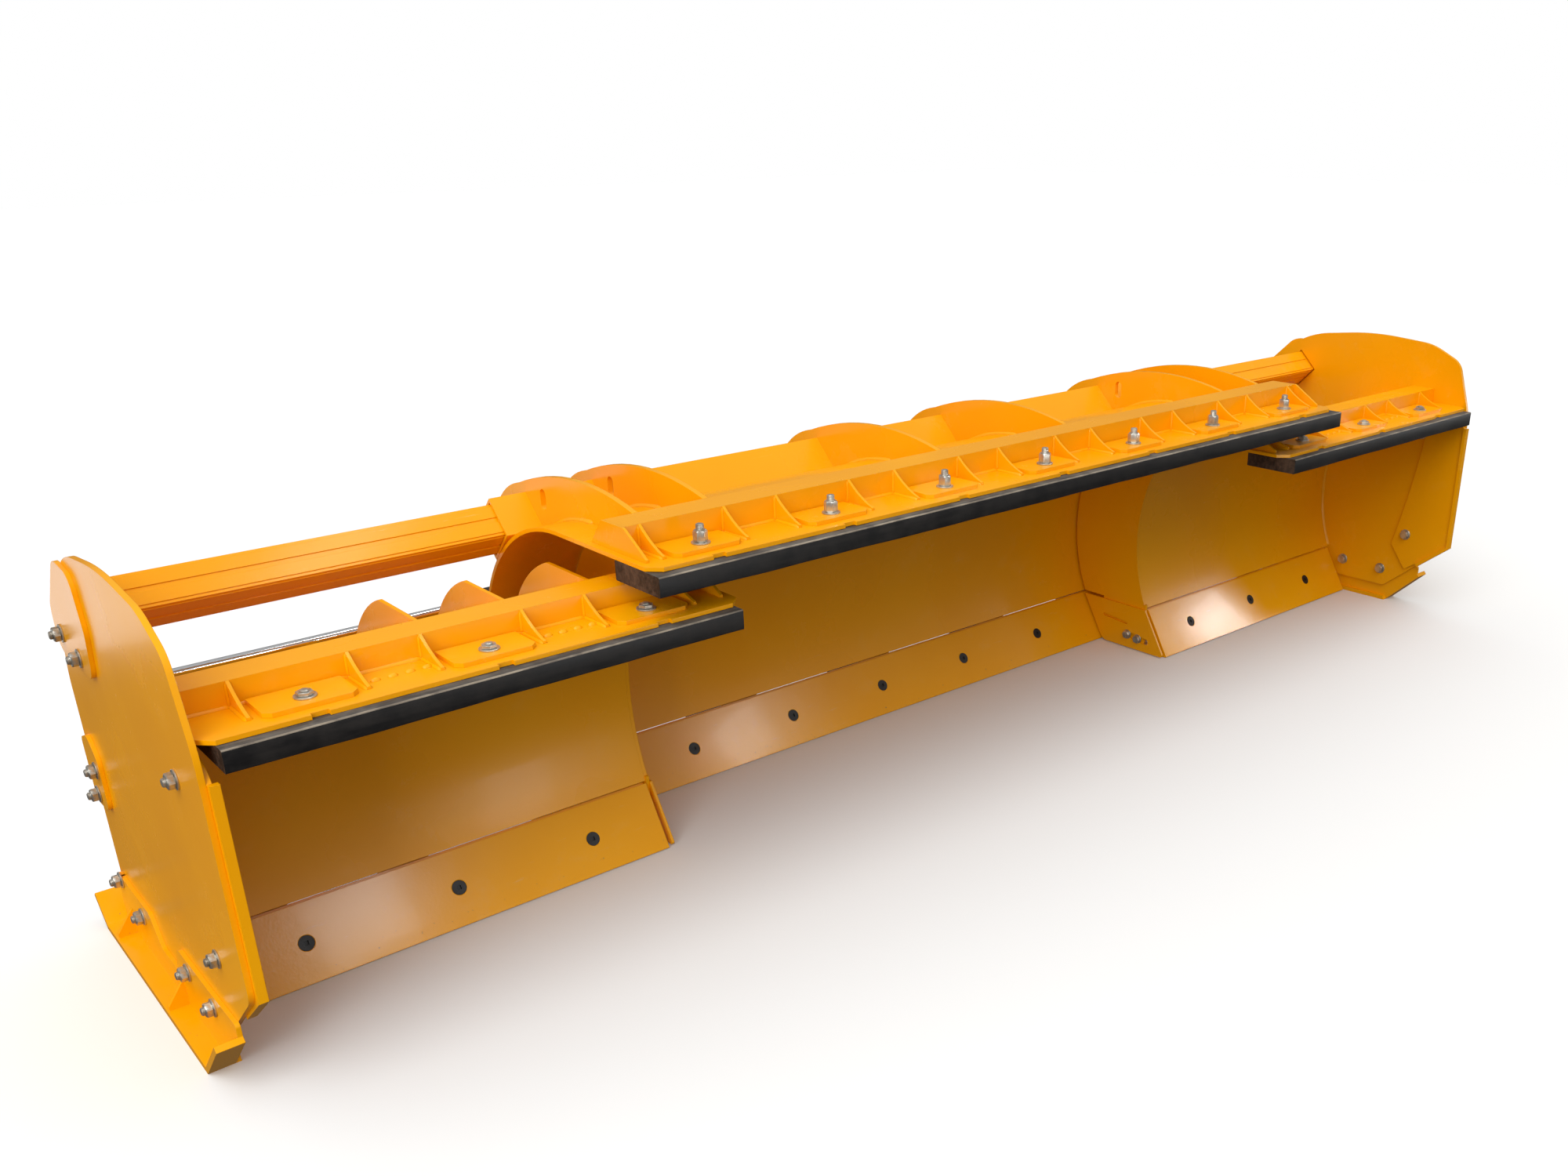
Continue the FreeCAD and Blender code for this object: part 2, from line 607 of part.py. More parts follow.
def cylinder_barrel():
    """Barrel with a rear cap, a gland and two hose ports, for the left side."""
    bore = BARREL_DIA - 2 * BARREL_WALL
    tube = tube_x(BARREL_DIA, bore, CYL_Y, CYL_Z, -BARREL_END + CYL_CAP, -BARREL_START - CYL_CAP)
    cap = rod_x(BARREL_DIA, CYL_Y, CYL_Z, -BARREL_START - CYL_CAP, -BARREL_START)
    gland = tube_x(BARREL_DIA + 6, ROD_DIA + 2 * PIN_PLAY, CYL_Y, CYL_Z, -BARREL_END, -BARREL_END + CYL_CAP)
    barrel = tube.fuse(cap).fuse(gland)
    for x in (-BARREL_END + PORT_IN, -BARREL_START - PORT_IN):
        port = Part.makeCylinder(11, 18, V(x, CYL_Y, CYL_Z + BARREL_DIA / 2 - 2), V(0, 0, 1))
        hole = Part.makeCylinder(6, 30, V(x, CYL_Y, CYL_Z + bore / 2 - 2), V(0, 0, 1))
        barrel = barrel.fuse(port).cut(hole)
    return barrel.removeSplitter()


def cylinder_mounts():
    """Saddles that hold both barrels off the back of the moldboard."""
    pieces = []
    for x in (BARREL_START + SADDLE_IN, BARREL_END - SADDLE_IN):
        angle = 16.0
        low = CENTER.lower_point(angle - 5, SHEET)
        high = CENTER.lower_point(angle + 5, SHEET)
        mid = CENTER.lower_point(angle, SHEET)
        edges = [arc(low, mid, high), line(high, (CYL_Y, CYL_Z + 14)),
                 line((CYL_Y, CYL_Z + 14), (CYL_Y, CYL_Z - 14)), line((CYL_Y, CYL_Z - 14), low)]
        saddle = prism(edges, x - 6, x + 6)
        collar = tube_x(BARREL_DIA + 16, BARREL_DIA, CYL_Y, CYL_Z, x - 10, x + 10)
        saddle = saddle.cut(rod_x(BARREL_DIA, CYL_Y, CYL_Z, x - 20, x + 20))
        pieces.append(saddle.fuse(collar).removeSplitter())
    return pieces


def center_hydraulics():
    barrel = cylinder_barrel()
    export("left_cylinder_barrel", barrel)
    export("right_cylinder_barrel", mirrored(barrel))
    saddles = cylinder_mounts()
    export("cylinder_saddles", saddles + mirrored(saddles))


def center_trip():
    places = [-900.0, -450.0, 0.0, 450.0, 900.0]
    pin_y = hinge_y(CENTER_SETBACK)
    export("center_hinge_knuckles", fixed_knuckles(CENTER, CENTER_SETBACK, places))
    pin = rod_x(PIN_DIA, pin_y, HINGE_Z, -CENTER_EDGE_HALF + 40, CENTER_EDGE_HALF - 40)
    export("center_hinge_pin", pin)
    export("center_trip_springs", trip_springs(CENTER_SETBACK, places[1:]))
    half = CENTER_EDGE_HALF
    export("center_trip_frame", trip_frame(CENTER_SETBACK, -half, half, CENTER_EDGE_BOLTS, places))
    export("center_cutting_edge", cutting_edge(CENTER_SETBACK, -half, half, CENTER_EDGE_BOLTS))
    export("center_edge_bolts", edge_bolts(CENTER_SETBACK, CENTER_EDGE_BOLTS))


# ======== wings, drawn on the left and mirrored ========
def along(u):
    """X of a point on the left wing, u inwards from the end plate's outer face."""
    return -WING_REACH + u


WING_BOLTS = [along(WING_FIRST_BOLT + POCKET_PITCH * k) for k in range(3)]
WING_EDGE_START = END_PLATE + WEAR_PLATE + 4
WING_EDGE_END = WING_LENGTH - EDGE_END_GAP
WING_EDGE_BOLTS = [along(200.0 + EDGE_PITCH * k) for k in range(3)]
INNER_PLATE = 8.0
SIDE_PLATE = 6.0
SIDE_GAP = 8.0


def wing_hood():
    start = along(END_PLATE)
    end = along(WING_LENGTH - INNER_PLATE)
    export_pair("wing_moldboard", moldboard(WING, start, end, True, True, WING_BOLTS))
    last = along(WING_RUBBER_END)
    export_pair("wing_hood_channel", channel(WING, WING_CHANNEL_HEIGHT, start, last - GUSSET))
    ribs = [gusset(WING, WING_CHANNEL_HEIGHT, x + side * POCKET_HALF) for x in WING_BOLTS for side in (-1, 1)]
    cap = channel_cap(WING, WING_CHANNEL_HEIGHT, last - GUSSET, last)
    pads = [doubler(WING, x) for x in WING_BOLTS]
    export_pair("wing_hood_gussets", ribs + [cap] + pads)
    bar = rubber(WING, along(WING_RUBBER_START), along(WING_RUBBER_END), WING_BOLTS)
    export_pair("wing_rubber_bar", bar)
    export_pair("wing_rubber_bolts", rubber_bolts(WING, WING_BOLTS, 10.0, 6.0))


INNER_CLEARANCE = 8.0       # inner plate to the centre moldboard
RIB_INSET = 64.0            # back ribs to the centre moldboard
WING_RIBS = (457.0, 624.0, 800.0)


def wing_back_shape(inset, top_z, front_y, low, start, x0, x1):
    """A plate between the wing's curve and the centre's curve, from low degrees up to top_z."""
    top_angle = CENTER.upper_angle_at(top_z, -inset)
    foot = WING.lower_point(low, start)
    back_foot = CENTER.lower_point(low, -inset)
    edges = WING.edges(low, 90, start)
    edges.append(line(foot, back_foot))
    edges += CENTER.edges(low, top_angle, -inset)
    top = CENTER.upper_point(top_angle, -inset)
    edges.append(line(top, (front_y, top_z)))
    edges.append(line((front_y, top_z), (front_y, WING_HOOD_Z + start)))
    edges.append(line((front_y, WING_HOOD_Z + start), WING.upper_point(90, start)))
    return prism(edges, x0, x1)


SIDE_TAB = (80.0, 232.0)    # Y range of the tab that carries the side plate
SIDE_TAB_LOW = 22.0
SIDE_BOLTS = ((139.0, 45.0), (99.0, 40.0))
SIDE_SCREW = 15.0           # screws tapped into the tab, flush with its back
SIDE_SLOT = (106.0, 41.0, 92.0, 18.0, 7.0)      # centre Y, centre Z, length, height, degrees
SIDE_SLIT = (190.0, 82.0, 96.0, 8.0, 5.0)


def wing_plates():
    channel_back = -WING.front + CHANNEL_FRONT + CHANNEL_TOP + CHANNEL_REAR_RUN
    top = WING_HOOD_Z + SHEET + WING_CHANNEL_HEIGHT - 6
    x0 = along(WING_LENGTH - INNER_PLATE)
    x1 = along(WING_LENGTH)
    inner = wing_back_shape(INNER_CLEARANCE, top, channel_back + 2, -LOWER_SWEEP, 0.0, x0, x1)
    tab = plate_yz([(SIDE_TAB[0], FOOT_Z + 10), (SIDE_TAB[1] + 12, FOOT_Z + 10), (SIDE_TAB[1], SIDE_TAB_LOW),
                    (SIDE_TAB[0], SIDE_TAB_LOW)], [0, 0, 10, 10], x0, x1)
    inner = inner.fuse(tab)
    for y, z in SIDE_BOLTS:
        inner = inner.cut(rod_x(SIDE_SCREW, y, z, x0 - 1, x1 + 1))
    side = side_plate(x1)
    for slot in (SIDE_SLOT, SIDE_SLIT):
        side = side.cut(round_slot(slot, x1 - 1, x1 + SIDE_PLATE + 1))
    export_pair("wing_inner_plate", inner.removeSplitter())
    export_pair("wing_side_plate", side)
    ribs = []
    for u in WING_RIBS:
        rib = wing_back_shape(RIB_INSET, top - 24, channel_back + 2, 3 - LOWER_SWEEP, SHEET, along(u), along(u) + 8)
        rib = rib.cut(rod_x(KNUCKLE_DIA + 14, hinge_y(0), HINGE_Z, along(u) - 1, along(u) + 9))
        ribs.append(rib)
    export_pair("wing_back_ribs", ribs)


def side_plate(x1):
    """The bolted wiper that closes the gap to the centre's cutting edge."""
    c, s = math.cos(TILT), math.sin(TILT)
    rear = CENTER_SETBACK - SIDE_GAP
    points = [(0, EDGE_GROUND), (EDGE_HEIGHT * s, EDGE_GROUND + EDGE_HEIGHT * c),
              (rear + EDGE_HEIGHT * s, EDGE_GROUND + EDGE_HEIGHT * c), (rear, EDGE_GROUND)]
    return plate_yz(points, [6, 0, 0, 30], x1, x1 + SIDE_PLATE)


def round_slot(slot, x0, x1):
    """A slot with round ends, tilted in the YZ plane."""
    y, z, length, height, degrees = slot
    run = (length - height) / 2
    cut = box(x0, x1, -run, run, -height / 2, height / 2)
    for end in (-run, run):
        cut = cut.fuse(rod_x(height, end, 0, x0, x1))
    cut.rotate(V(0, 0, 0), V(1, 0, 0), degrees)
    cut.translate(V(0, y, z))
    return cut


END_POINTS = [(-136.0, END_BOTTOM), (-236.0, 134.0), (-END_FRONT, 222.0), (-END_FRONT, 640.0), (-292.0, 790.0),
              (-195.0, 836.0), (10.0, END_TOP), (235.0, 826.0), (364.0, 746.0), (434.0, 640.0),
              (END_BACK, 540.0), (END_BACK, END_BOTTOM)]
END_RADII = [20, 0, 40, 200, 60, 180, 900, 260, 260, 160, 120, 40]
END_BOLTS = [(377.0, 650.0), (270.0, 632.0), (393.0, 372.0), (425.0, 312.0)]
WEAR_BOLTS = [(-205.0, 564.0), (-196.0, 236.0)]
SHOE_BOLTS = [(22.0, 106.0), (-118.0, 104.0), (308.0, 92.0), (436.0, 118.0)]
PLATE_BOLT = 16.0


def drilled(plate, places, x0, x1):
    for y, z in places:
        plate = plate.cut(rod_x(PLATE_BOLT + 2 * HOLE_PLAY, y, z, x0 - 1, x1 + 1))
    return plate


def end_plate():
    x0 = along(0)
    x1 = along(END_PLATE)
    plate = plate_yz(END_POINTS, END_RADII, x0, x1)
    plate = drilled(plate, END_BOLTS + WEAR_BOLTS + SHOE_BOLTS, x0, x1)
    plate = plate.cut(diamond(BEAM_SIDE + 8, BEAM_Y, BEAM_Z, x0 - 1, x1 + 1))
    export_pair("end_plate", plate)
    pad = DOUBLER
    cap = plate_yz([(205, 606), (178, 700), (196, 800), (300, 806), (425, 690), (432, 622), (400, 606)],
                   [34, 60, 40, 60, 60, 30, 24], x0 - pad, x0)
    heel = plate_yz([(372, 290), (366, 400), (410, 440), (462, 420), (462, 286)], [24, 40, 30, 20, 16], x0 - pad, x0)
    export_pair("end_doublers", [drilled(p, END_BOLTS, x0 - pad, x0) for p in (cap, heel)])


def wear_plate():
    """Bolted plate inside the end plate, with a flange along the front edge."""
    x1 = along(END_PLATE)
    x2 = x1 + WEAR_PLATE
    front = -END_FRONT - 2
    flange = 10.0
    width = 16.0
    edges = [line((front, 225), (front, 596)), arc((front, 596), (front + 58, 634), (-225, 612)),
             arc((-225, 612), (-196, 410), (-150, 196)), line((-150, 196), (-206, 122)),
             line((-206, 122), (front + 96, 150)), line((front + 96, 150), (front, 225))]
    plate = drilled(prism(edges, x1, x2), WEAR_BOLTS, x1, x2)
    points = [(front, 600), (front - flange, 600), (front - flange, 221), (front + 90, 141), (front + 96, 150),
              (front, 225)]
    lip = plate_yz(points, 0, x1, x1 + width)
    export_pair("wear_plate", plate.fuse(lip).removeSplitter())


def skid_shoe():
    """Sole with turned-up ends, a bolted wall and two gussets."""
    x_in = along(END_PLATE)
    x_out = along(-SHOE_OUT)
    wall_in = along(0)
    wall_out = wall_in - DOUBLER
    t = SHOE_THICK
    lean = math.atan2(SHOE_TIP_RISE, SHOE_TIP_RUN)
    nx, nz = math.sin(lean) * t, math.cos(lean) * t
    tip = (-SHOE_FRONT - SHOE_TIP_RUN, SHOE_TIP_RISE)
    tail = (SHOE_BACK + SHOE_REAR_RUN, SHOE_REAR_RISE)
    front_in = t * math.tan(lean / 2)
    rear_in = t * math.tan(math.radians(22.5))
    points = [(-SHOE_FRONT, 0), (SHOE_BACK, 0), tail, (tail[0] - t * ROOT2, tail[1] + t * ROOT2),
              (SHOE_BACK - rear_in, t), (-SHOE_FRONT + front_in, t), (tip[0] + nx, tip[1] + nz), tip]
    sole = plate_yz(points, 0, x_out, wall_in)
    inner = plate_yz([(-SHOE_FRONT, 0), (SHOE_BACK, 0), (SHOE_BACK - rear_in, t), (-SHOE_FRONT + front_in, t)], 0,
                     wall_in, x_in)
    wall = plate_yz([(-SHOE_FRONT, t / 2), (SHOE_BACK - 8, t / 2), (SHOE_BACK - 8, SHOE_WALL_TOP - 8),
                     (250, SHOE_WALL_TOP - 10), (200, 70), (110, 70), (70, SHOE_WALL_TOP - 3),
                     (-150, SHOE_WALL_TOP - 3), (tip[0] + 8, SHOE_WALL_TOP), (tip[0] + 8, SHOE_TIP_RISE)],
                    [0, 0, 22, 20, 14, 14, 20, 60, 8, 0], wall_out, wall_in)
    shoe = sole.fuse(inner).fuse(drilled(wall, SHOE_BOLTS, wall_out, wall_in))
    for y in (75.0, 405.0):
        corner = [V(x_out + 4, y, t / 2), V(wall_in, y, t / 2), V(wall_in, y, 66), V(wall_out, y, 66), V(x_out + 4, y, 20)]
        corner.append(corner[0])
        shoe = shoe.fuse(Part.Face(Part.makePolygon(corner)).extrude(V(0, 8, 0)))
    export_pair("skid_shoe", shoe.removeSplitter())


def plate_bolt(y, z, x_out, x_in, twist):
    """A hex bolt through plates between x_out and x_in, its head outside."""
    washer_out = tube_x(34, PLATE_BOLT, y, z, x_out - 3, x_out)
    head = hexagon(24, 10, V(x_out - 3, y, z), V(-1, 0, 0), twist)
    shank = rod_x(PLATE_BOLT, y, z, x_out - 6, x_in + 18)
    nut = hexagon(24, 13, V(x_in, y, z), V(1, 0, 0), twist + 11)
    nut = nut.cut(rod_x(PLATE_BOLT, y, z, x_in - 1, x_in + 30))
    return [head.fuse(shank).removeSplitter(), washer_out, nut]


def wing_bolts():
    pieces = []
    inner = along(END_PLATE)
    for i, (y, z) in enumerate(END_BOLTS):
        pieces += plate_bolt(y, z, along(-DOUBLER), inner, 13 * i)
    for i, (y, z) in enumerate(WEAR_BOLTS):
        pieces += plate_bolt(y, z, along(0), inner + WEAR_PLATE, 20 * i)
    for i, (y, z) in enumerate(SHOE_BOLTS):
        pieces += plate_bolt(y, z, along(-DOUBLER), inner, 9 * i)
    x0 = along(WING_LENGTH - INNER_PLATE)
    x1 = along(WING_LENGTH + SIDE_PLATE)
    for y, z in SIDE_BOLTS:
        head = Part.makeSphere(15, V(x1 - 8, y, z), V(1, 0, 0)).common(box(x1, x1 + 10, y - 20, y + 20, z - 20, z + 20))
        shank = rod_x(SIDE_SCREW, y, z, x0, x1 + 2)
        pieces.append(head.fuse(shank).removeSplitter())
    export_pair("plate_bolts", pieces)


def beam():
    """Square tube on its corner, with raised wear strips on each face."""
    x0 = along(0)
    x1 = along(END_PLATE) + BEAM_LENGTH
    tube = diamond(BEAM_SIDE, BEAM_Y, BEAM_Z, x0, x1)
    strip_height = (SLEEVE_SIDE - 2 * SLEEVE_WALL - BEAM_SIDE) / 2 - STRIP_PLAY
    start = along(END_PLATE) + 6
    for turn in range(4):
        for side in (-1, 1):
            centre = side * (STRIP_WIDTH + STRIP_GAP) / 2
            strip = box(start, x1 - 10, BEAM_SIDE / 2 - 1, BEAM_SIDE / 2 + strip_height,
                        centre - STRIP_WIDTH / 2, centre + STRIP_WIDTH / 2)
            strip.rotate(V(0, 0, 0), V(1, 0, 0), 45 + 90 * turn)
            strip.translate(V(0, BEAM_Y, BEAM_Z))
            tube = tube.fuse(strip)
    hollow = diamond(BEAM_SIDE - 2 * BEAM_WALL, BEAM_Y, BEAM_Z, x0 - 1, x1 + 1)
    return tube.cut(hollow).removeSplitter()


def cylinder_rod():
    """Chromed rod with its piston and the screwed end boss on the end plate."""
    inner = along(END_PLATE)
    piston_x = -BARREL_END + CYL_CAP + PISTON_IN
    rod = rod_x(ROD_DIA, CYL_Y, CYL_Z, inner, piston_x + 5)
    bore = BARREL_DIA - 2 * BARREL_WALL
    piston = rod_x(bore - 2 * PIN_PLAY, CYL_Y, CYL_Z, piston_x, piston_x + PISTON_LENGTH)
    boss = rod_x(ROD_DIA + 2, CYL_Y, CYL_Z, inner, inner + 30)
    flange = rod_x(ROD_DIA + 24, CYL_Y, CYL_Z, inner, inner + 8)
    return rod.fuse(piston).fuse(boss).fuse(flange).removeSplitter()


def wing_trip():
    places = [along(u) for u in (120.0, 400.0, 850.0)]
    x0 = along(WING_EDGE_START)
    x1 = along(WING_EDGE_END)
    pin = rod_x(PIN_DIA, hinge_y(0), HINGE_Z, x0 + 20, x1 - 20)
    export_pair("wing_trip_hinge", fixed_knuckles(WING, 0, places) + [pin])
    export_pair("wing_trip_springs", trip_springs(0, places[1:]))
    export_pair("trip_frame", trip_frame(0, x0, x1, WING_EDGE_BOLTS, places))
    export_pair("cutting_edge", cutting_edge(0, x0, x1, WING_EDGE_BOLTS))
    export_pair("edge_bolts", edge_bolts(0, WING_EDGE_BOLTS))


center_hood()
center_back()
quick_attach()
center_hydraulics()
center_trip()
wing_hood()
wing_plates()
end_plate()
wear_plate()
skid_shoe()
wing_bolts()
export_pair("wing_beam", beam())
export_pair("cylinder_rod", cylinder_rod())
wing_trip()
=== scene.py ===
import json
import math
import bmesh
import bpy
import numpy as np
from mathutils import Matrix, Vector

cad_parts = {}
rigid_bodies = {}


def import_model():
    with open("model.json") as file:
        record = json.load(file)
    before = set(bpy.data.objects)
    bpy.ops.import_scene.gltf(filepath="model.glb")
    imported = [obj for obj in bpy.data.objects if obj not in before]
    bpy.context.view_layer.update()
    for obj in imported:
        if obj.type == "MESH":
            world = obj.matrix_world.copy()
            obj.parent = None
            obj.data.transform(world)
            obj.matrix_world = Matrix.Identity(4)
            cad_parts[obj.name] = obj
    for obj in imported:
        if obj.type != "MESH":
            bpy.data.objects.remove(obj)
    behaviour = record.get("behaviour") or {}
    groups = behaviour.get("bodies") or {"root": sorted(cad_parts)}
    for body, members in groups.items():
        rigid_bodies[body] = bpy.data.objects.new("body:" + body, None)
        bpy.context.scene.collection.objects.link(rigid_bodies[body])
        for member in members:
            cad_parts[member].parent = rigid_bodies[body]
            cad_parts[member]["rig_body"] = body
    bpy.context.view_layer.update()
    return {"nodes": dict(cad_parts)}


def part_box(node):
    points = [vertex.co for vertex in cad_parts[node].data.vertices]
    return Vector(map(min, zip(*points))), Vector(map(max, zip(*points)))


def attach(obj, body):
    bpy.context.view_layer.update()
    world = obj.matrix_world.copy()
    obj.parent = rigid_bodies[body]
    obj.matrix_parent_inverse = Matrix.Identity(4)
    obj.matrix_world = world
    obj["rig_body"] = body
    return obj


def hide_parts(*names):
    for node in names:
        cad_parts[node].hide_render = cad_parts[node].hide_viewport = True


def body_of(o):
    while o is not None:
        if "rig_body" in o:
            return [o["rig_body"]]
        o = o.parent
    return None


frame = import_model()

# ---- Camera -------------------------------------------------------------------------------
# Stands ahead of the pusher's left end at head height and looks back along it, on a wide lens.
camera_data = bpy.data.cameras.new("camera")
camera_data.sensor_width = 36.0
camera_data.lens = 31.96
camera_data.shift_x = -0.0805
camera_data.shift_y = 0.0829
camera = bpy.data.objects.new("camera", camera_data)
bpy.context.scene.collection.objects.link(camera)
yaw, down, roll = math.radians(41.638), math.radians(23.342), math.radians(-0.453)
camera.matrix_world = (Matrix.Translation((-2.2796, -2.4733, 1.4877)) @ Matrix.Rotation(-yaw, 4, "Z")
                       @ Matrix.Rotation(math.pi / 2 - down, 4, "X") @ Matrix.Rotation(roll, 4, "Z"))
bpy.context.scene.camera = camera

# ---- Studio -------------------------------------------------------------------------------
# A pale floor, a surround that is bright above and dim below and in reflections, a very soft
# light overhead, weaker ones from ahead and the left, and panels that only show as gleams.


def maths(tree, operation, first, second):
    """One arithmetic node on two values, each a socket or a number."""
    node = tree.nodes.new("ShaderNodeMath")
    node.operation = operation
    for socket, value in zip(node.inputs, (first, second)):
        if isinstance(value, bpy.types.NodeSocket):
            tree.links.new(value, socket)
        else:
            socket.default_value = value
    return node.outputs["Value"]


bpy.context.scene.view_settings.view_transform = "Standard"
world = bpy.data.worlds.new("surround")
world.use_nodes = True
bpy.context.scene.world = world
sky = world.node_tree
sky.nodes["Background"].inputs["Color"].default_value = (1.0, 1.0, 1.0, 1.0)
rays = sky.nodes.new("ShaderNodeLightPath").outputs
upward = sky.nodes.new("ShaderNodeSeparateXYZ")
sky.links.new(sky.nodes.new("ShaderNodeTexCoord").outputs["Generated"], upward.inputs["Vector"])
dome = sky.nodes.new("ShaderNodeMapRange")
sky.links.new(upward.outputs["Z"], dome.inputs["Value"])
for label, number in (("From Min", 0.0), ("From Max", 0.75), ("To Min", 0.16), ("To Max", 0.95)):
    dome.inputs[label].default_value = number
dimmed = maths(sky, "MULTIPLY", dome.outputs["Result"],
               maths(sky, "SUBTRACT", 1.0, maths(sky, "MULTIPLY", rays["Is Glossy Ray"], 0.55)))
seen = maths(sky, "MAXIMUM", dimmed, maths(sky, "MULTIPLY", rays["Is Camera Ray"], 1.0))
sky.links.new(seen, sky.nodes["Background"].inputs["Strength"])

floor_mesh = bpy.data.meshes.new("floor")
floor_mesh.from_pydata([(-30, -30, 0), (30, -30, 0), (30, 30, 0), (-30, 30, 0)], [], [(0, 1, 2, 3)])
floor = bpy.data.objects.new("floor", floor_mesh)
floor.visible_glossy = False
floor.visible_diffuse = False
bpy.context.scene.collection.objects.link(floor)
floor_paint = bpy.data.materials.new("floor_paint")
floor_paint.use_nodes = True
floor_shader = floor_paint.node_tree.nodes["Principled BSDF"]
floor_shader.inputs["Base Color"].default_value = (0.90, 0.90, 0.89, 1.0)
floor_shader.inputs["Roughness"].default_value = 0.95
floor_shader.inputs["Specular IOR Level"].default_value = 0.0
floor_mesh.materials.append(floor_paint)


def lamp(name, kind, energy, aim):
    """A light of the given kind that shines along aim."""
    data = bpy.data.lights.new(name, kind)
    data.energy = energy
    light = bpy.data.objects.new(name, data)
    bpy.context.scene.collection.objects.link(light)
    light.rotation_mode = "QUATERNION"
    light.rotation_quaternion = Vector(aim).to_track_quat("-Z", "Y")
    return light


def gleam(name, point, way, far, width, height, watts):
    """A soft panel seen only in reflections: it stands far metres from point along way."""
    light = lamp(name, "AREA", watts, [-part for part in way])
    light.data.shape = "RECTANGLE"
    light.data.size, light.data.size_y = width, height
    light.location = [place + far * part for place, part in zip(point, way)]
    light.visible_diffuse = False
    light.visible_camera = False
    return light


overhead = lamp("overhead", "SUN", 1.4, (0.56, 0.34, -0.75))
overhead.data.angle = math.radians(50)
front_fill = lamp("front_fill", "SUN", 0.22, (0.42, 0.84, -0.34))
front_fill.data.angle = math.radians(60)
left_fill = lamp("left_fill", "AREA", 32.0, (2.4, 2.2, -0.9))
left_fill.data.size = 1.5
left_fill.location = (-4.2, -2.2, 1.3)
left_fill.visible_camera = False
left_fill.visible_glossy = False
gleam("left_edge_gleam", (-1.535, -0.036, 0.079), (0.256, -0.82, 0.512), 2.4, 0.32, 0.26, 6.0)
gleam("center_edge_gleam", (-0.465, 0.196, 0.058), (0.514, -0.713, 0.477), 2.6, 0.22, 0.22, 5.0)
gleam("right_edge_gleam", (1.176, -0.057, 0.044), (0.775, -0.541, 0.327), 2.4, 0.26, 0.26, 8.0)
gleam("beam_gleam", (-1.40, 0.159, 0.739), (0.307, -0.261, 0.917), 1.8, 1.3, 0.22, 5.0)
gleam("end_plate_gleam", (-1.842, 0.15, 0.78), (-0.16, 0.948, -0.273), 2.0, 0.9, 0.35, 1.2)
gleam("left_sheet_gleam", (-1.158, 0.025, 0.2), (0.371, -0.922, 0.114), 2.4, 0.25, 0.8, 6.0)

# ---- Center moldboard, ribs and everything painted ---------------------------------------
# Sheet and plate, welded up and powder coated in one glossy orange yellow. The coat lies in gentle waves with a fine
# peel, and has paler patches and streaks that are partly a little dust and rubbing and partly painted sheen.


def new_group(name, inputs, outputs):
    """An empty shader node group with float or colour sockets and its two end nodes."""
    group = bpy.data.node_groups.new(name, "ShaderNodeTree")
    for label, value in inputs.items():
        kind = "NodeSocketColor" if isinstance(value, tuple) else "NodeSocketFloat"
        group.interface.new_socket(label, in_out="INPUT", socket_type=kind).default_value = value
    for label, kind in outputs.items():
        group.interface.new_socket(label, in_out="OUTPUT", socket_type=kind)
    return group, group.nodes.new("NodeGroupInput"), group.nodes.new("NodeGroupOutput")


def noise(tree, coordinates, scale, detail=3.0, rough=0.55):
    """A noise texture read on the given coordinates."""
    node = tree.nodes.new("ShaderNodeTexNoise")
    node.inputs["Detail"].default_value = detail
    node.inputs["Roughness"].default_value = rough
    node.inputs["Scale"].default_value = scale
    tree.links.new(coordinates, node.inputs["Vector"])
    return node.outputs["Fac"]


def ramp(tree, value, low, high, to_low=0.0, to_high=1.0):
    """value spread from the range low..high to the range to_low..to_high, and held there."""
    node = tree.nodes.new("ShaderNodeMapRange")
    node.clamp = True
    tree.links.new(value, node.inputs["Value"])
    for label, number in (("From Min", low), ("From Max", high), ("To Min", to_low), ("To Max", to_high)):
        node.inputs[label].default_value = number
    return node.outputs["Result"]


def blend_colours(tree, share, first, second):
    """first where share is 0 and second where it is 1."""
    node = tree.nodes.new("ShaderNodeMix")
    node.data_type = "RGBA"
    tree.links.new(share, node.inputs["Factor"])
    for label, value in (("A", first), ("B", second)):
        colour = next(s for s in node.inputs if s.name == label and s.type == "RGBA")
        if isinstance(value, bpy.types.NodeSocket):
            tree.links.new(value, colour)
        else:
            colour.default_value = value
    return next(s for s in node.outputs if s.type == "RGBA")


def stretch(tree, coordinates, scale):
    """The coordinates scaled along each axis."""
    node = tree.nodes.new("ShaderNodeMapping")
    node.inputs["Scale"].default_value = scale
    tree.links.new(coordinates, node.inputs["Vector"])
    return node.outputs["Vector"]


paint_film, given, made = new_group(
    "powder_coat_film",
    {"Coat Colour": (0.9, 0.4, 0.01, 1.0), "Thin Colour": (0.8, 0.33, 0.005, 1.0), "Dust And Sheen Colour": (0.8, 0.6, 0.35, 1.0),
     "Gloss": 0.2, "Dust And Sheen": 0.3, "Scuffs And Sheen": 0.2, "Chips": 0.0, "Seam": 0.0},
    {"Colour": "NodeSocketColor", "Roughness": "NodeSocketFloat", "Height": "NodeSocketFloat"})
where = paint_film.nodes.new("ShaderNodeTexCoord").outputs["Object"]
clouds = ramp(paint_film, noise(paint_film, where, 2.3, 4.0), 0.35, 0.68)
# The spots and streaks below blend in a paler orange: partly dust and rubbing, partly painted sheen.
dust_and_sheen_spots = ramp(paint_film, noise(paint_film, where, 9.0, 8.0, 0.7), 0.56, 0.78)
scuff_and_sheen_lines = ramp(paint_film, noise(paint_film, stretch(paint_film, where, (6.0, 60.0, 60.0)), 1.6, 6.0, 0.75),
                   0.63, 0.72)
chip_spots = ramp(paint_film, noise(paint_film, where, 95.0, 5.0, 0.7), 0.66, 0.69)
height_above = paint_film.nodes.new("ShaderNodeSeparateXYZ")
paint_film.links.new(where, height_above.inputs["Vector"])
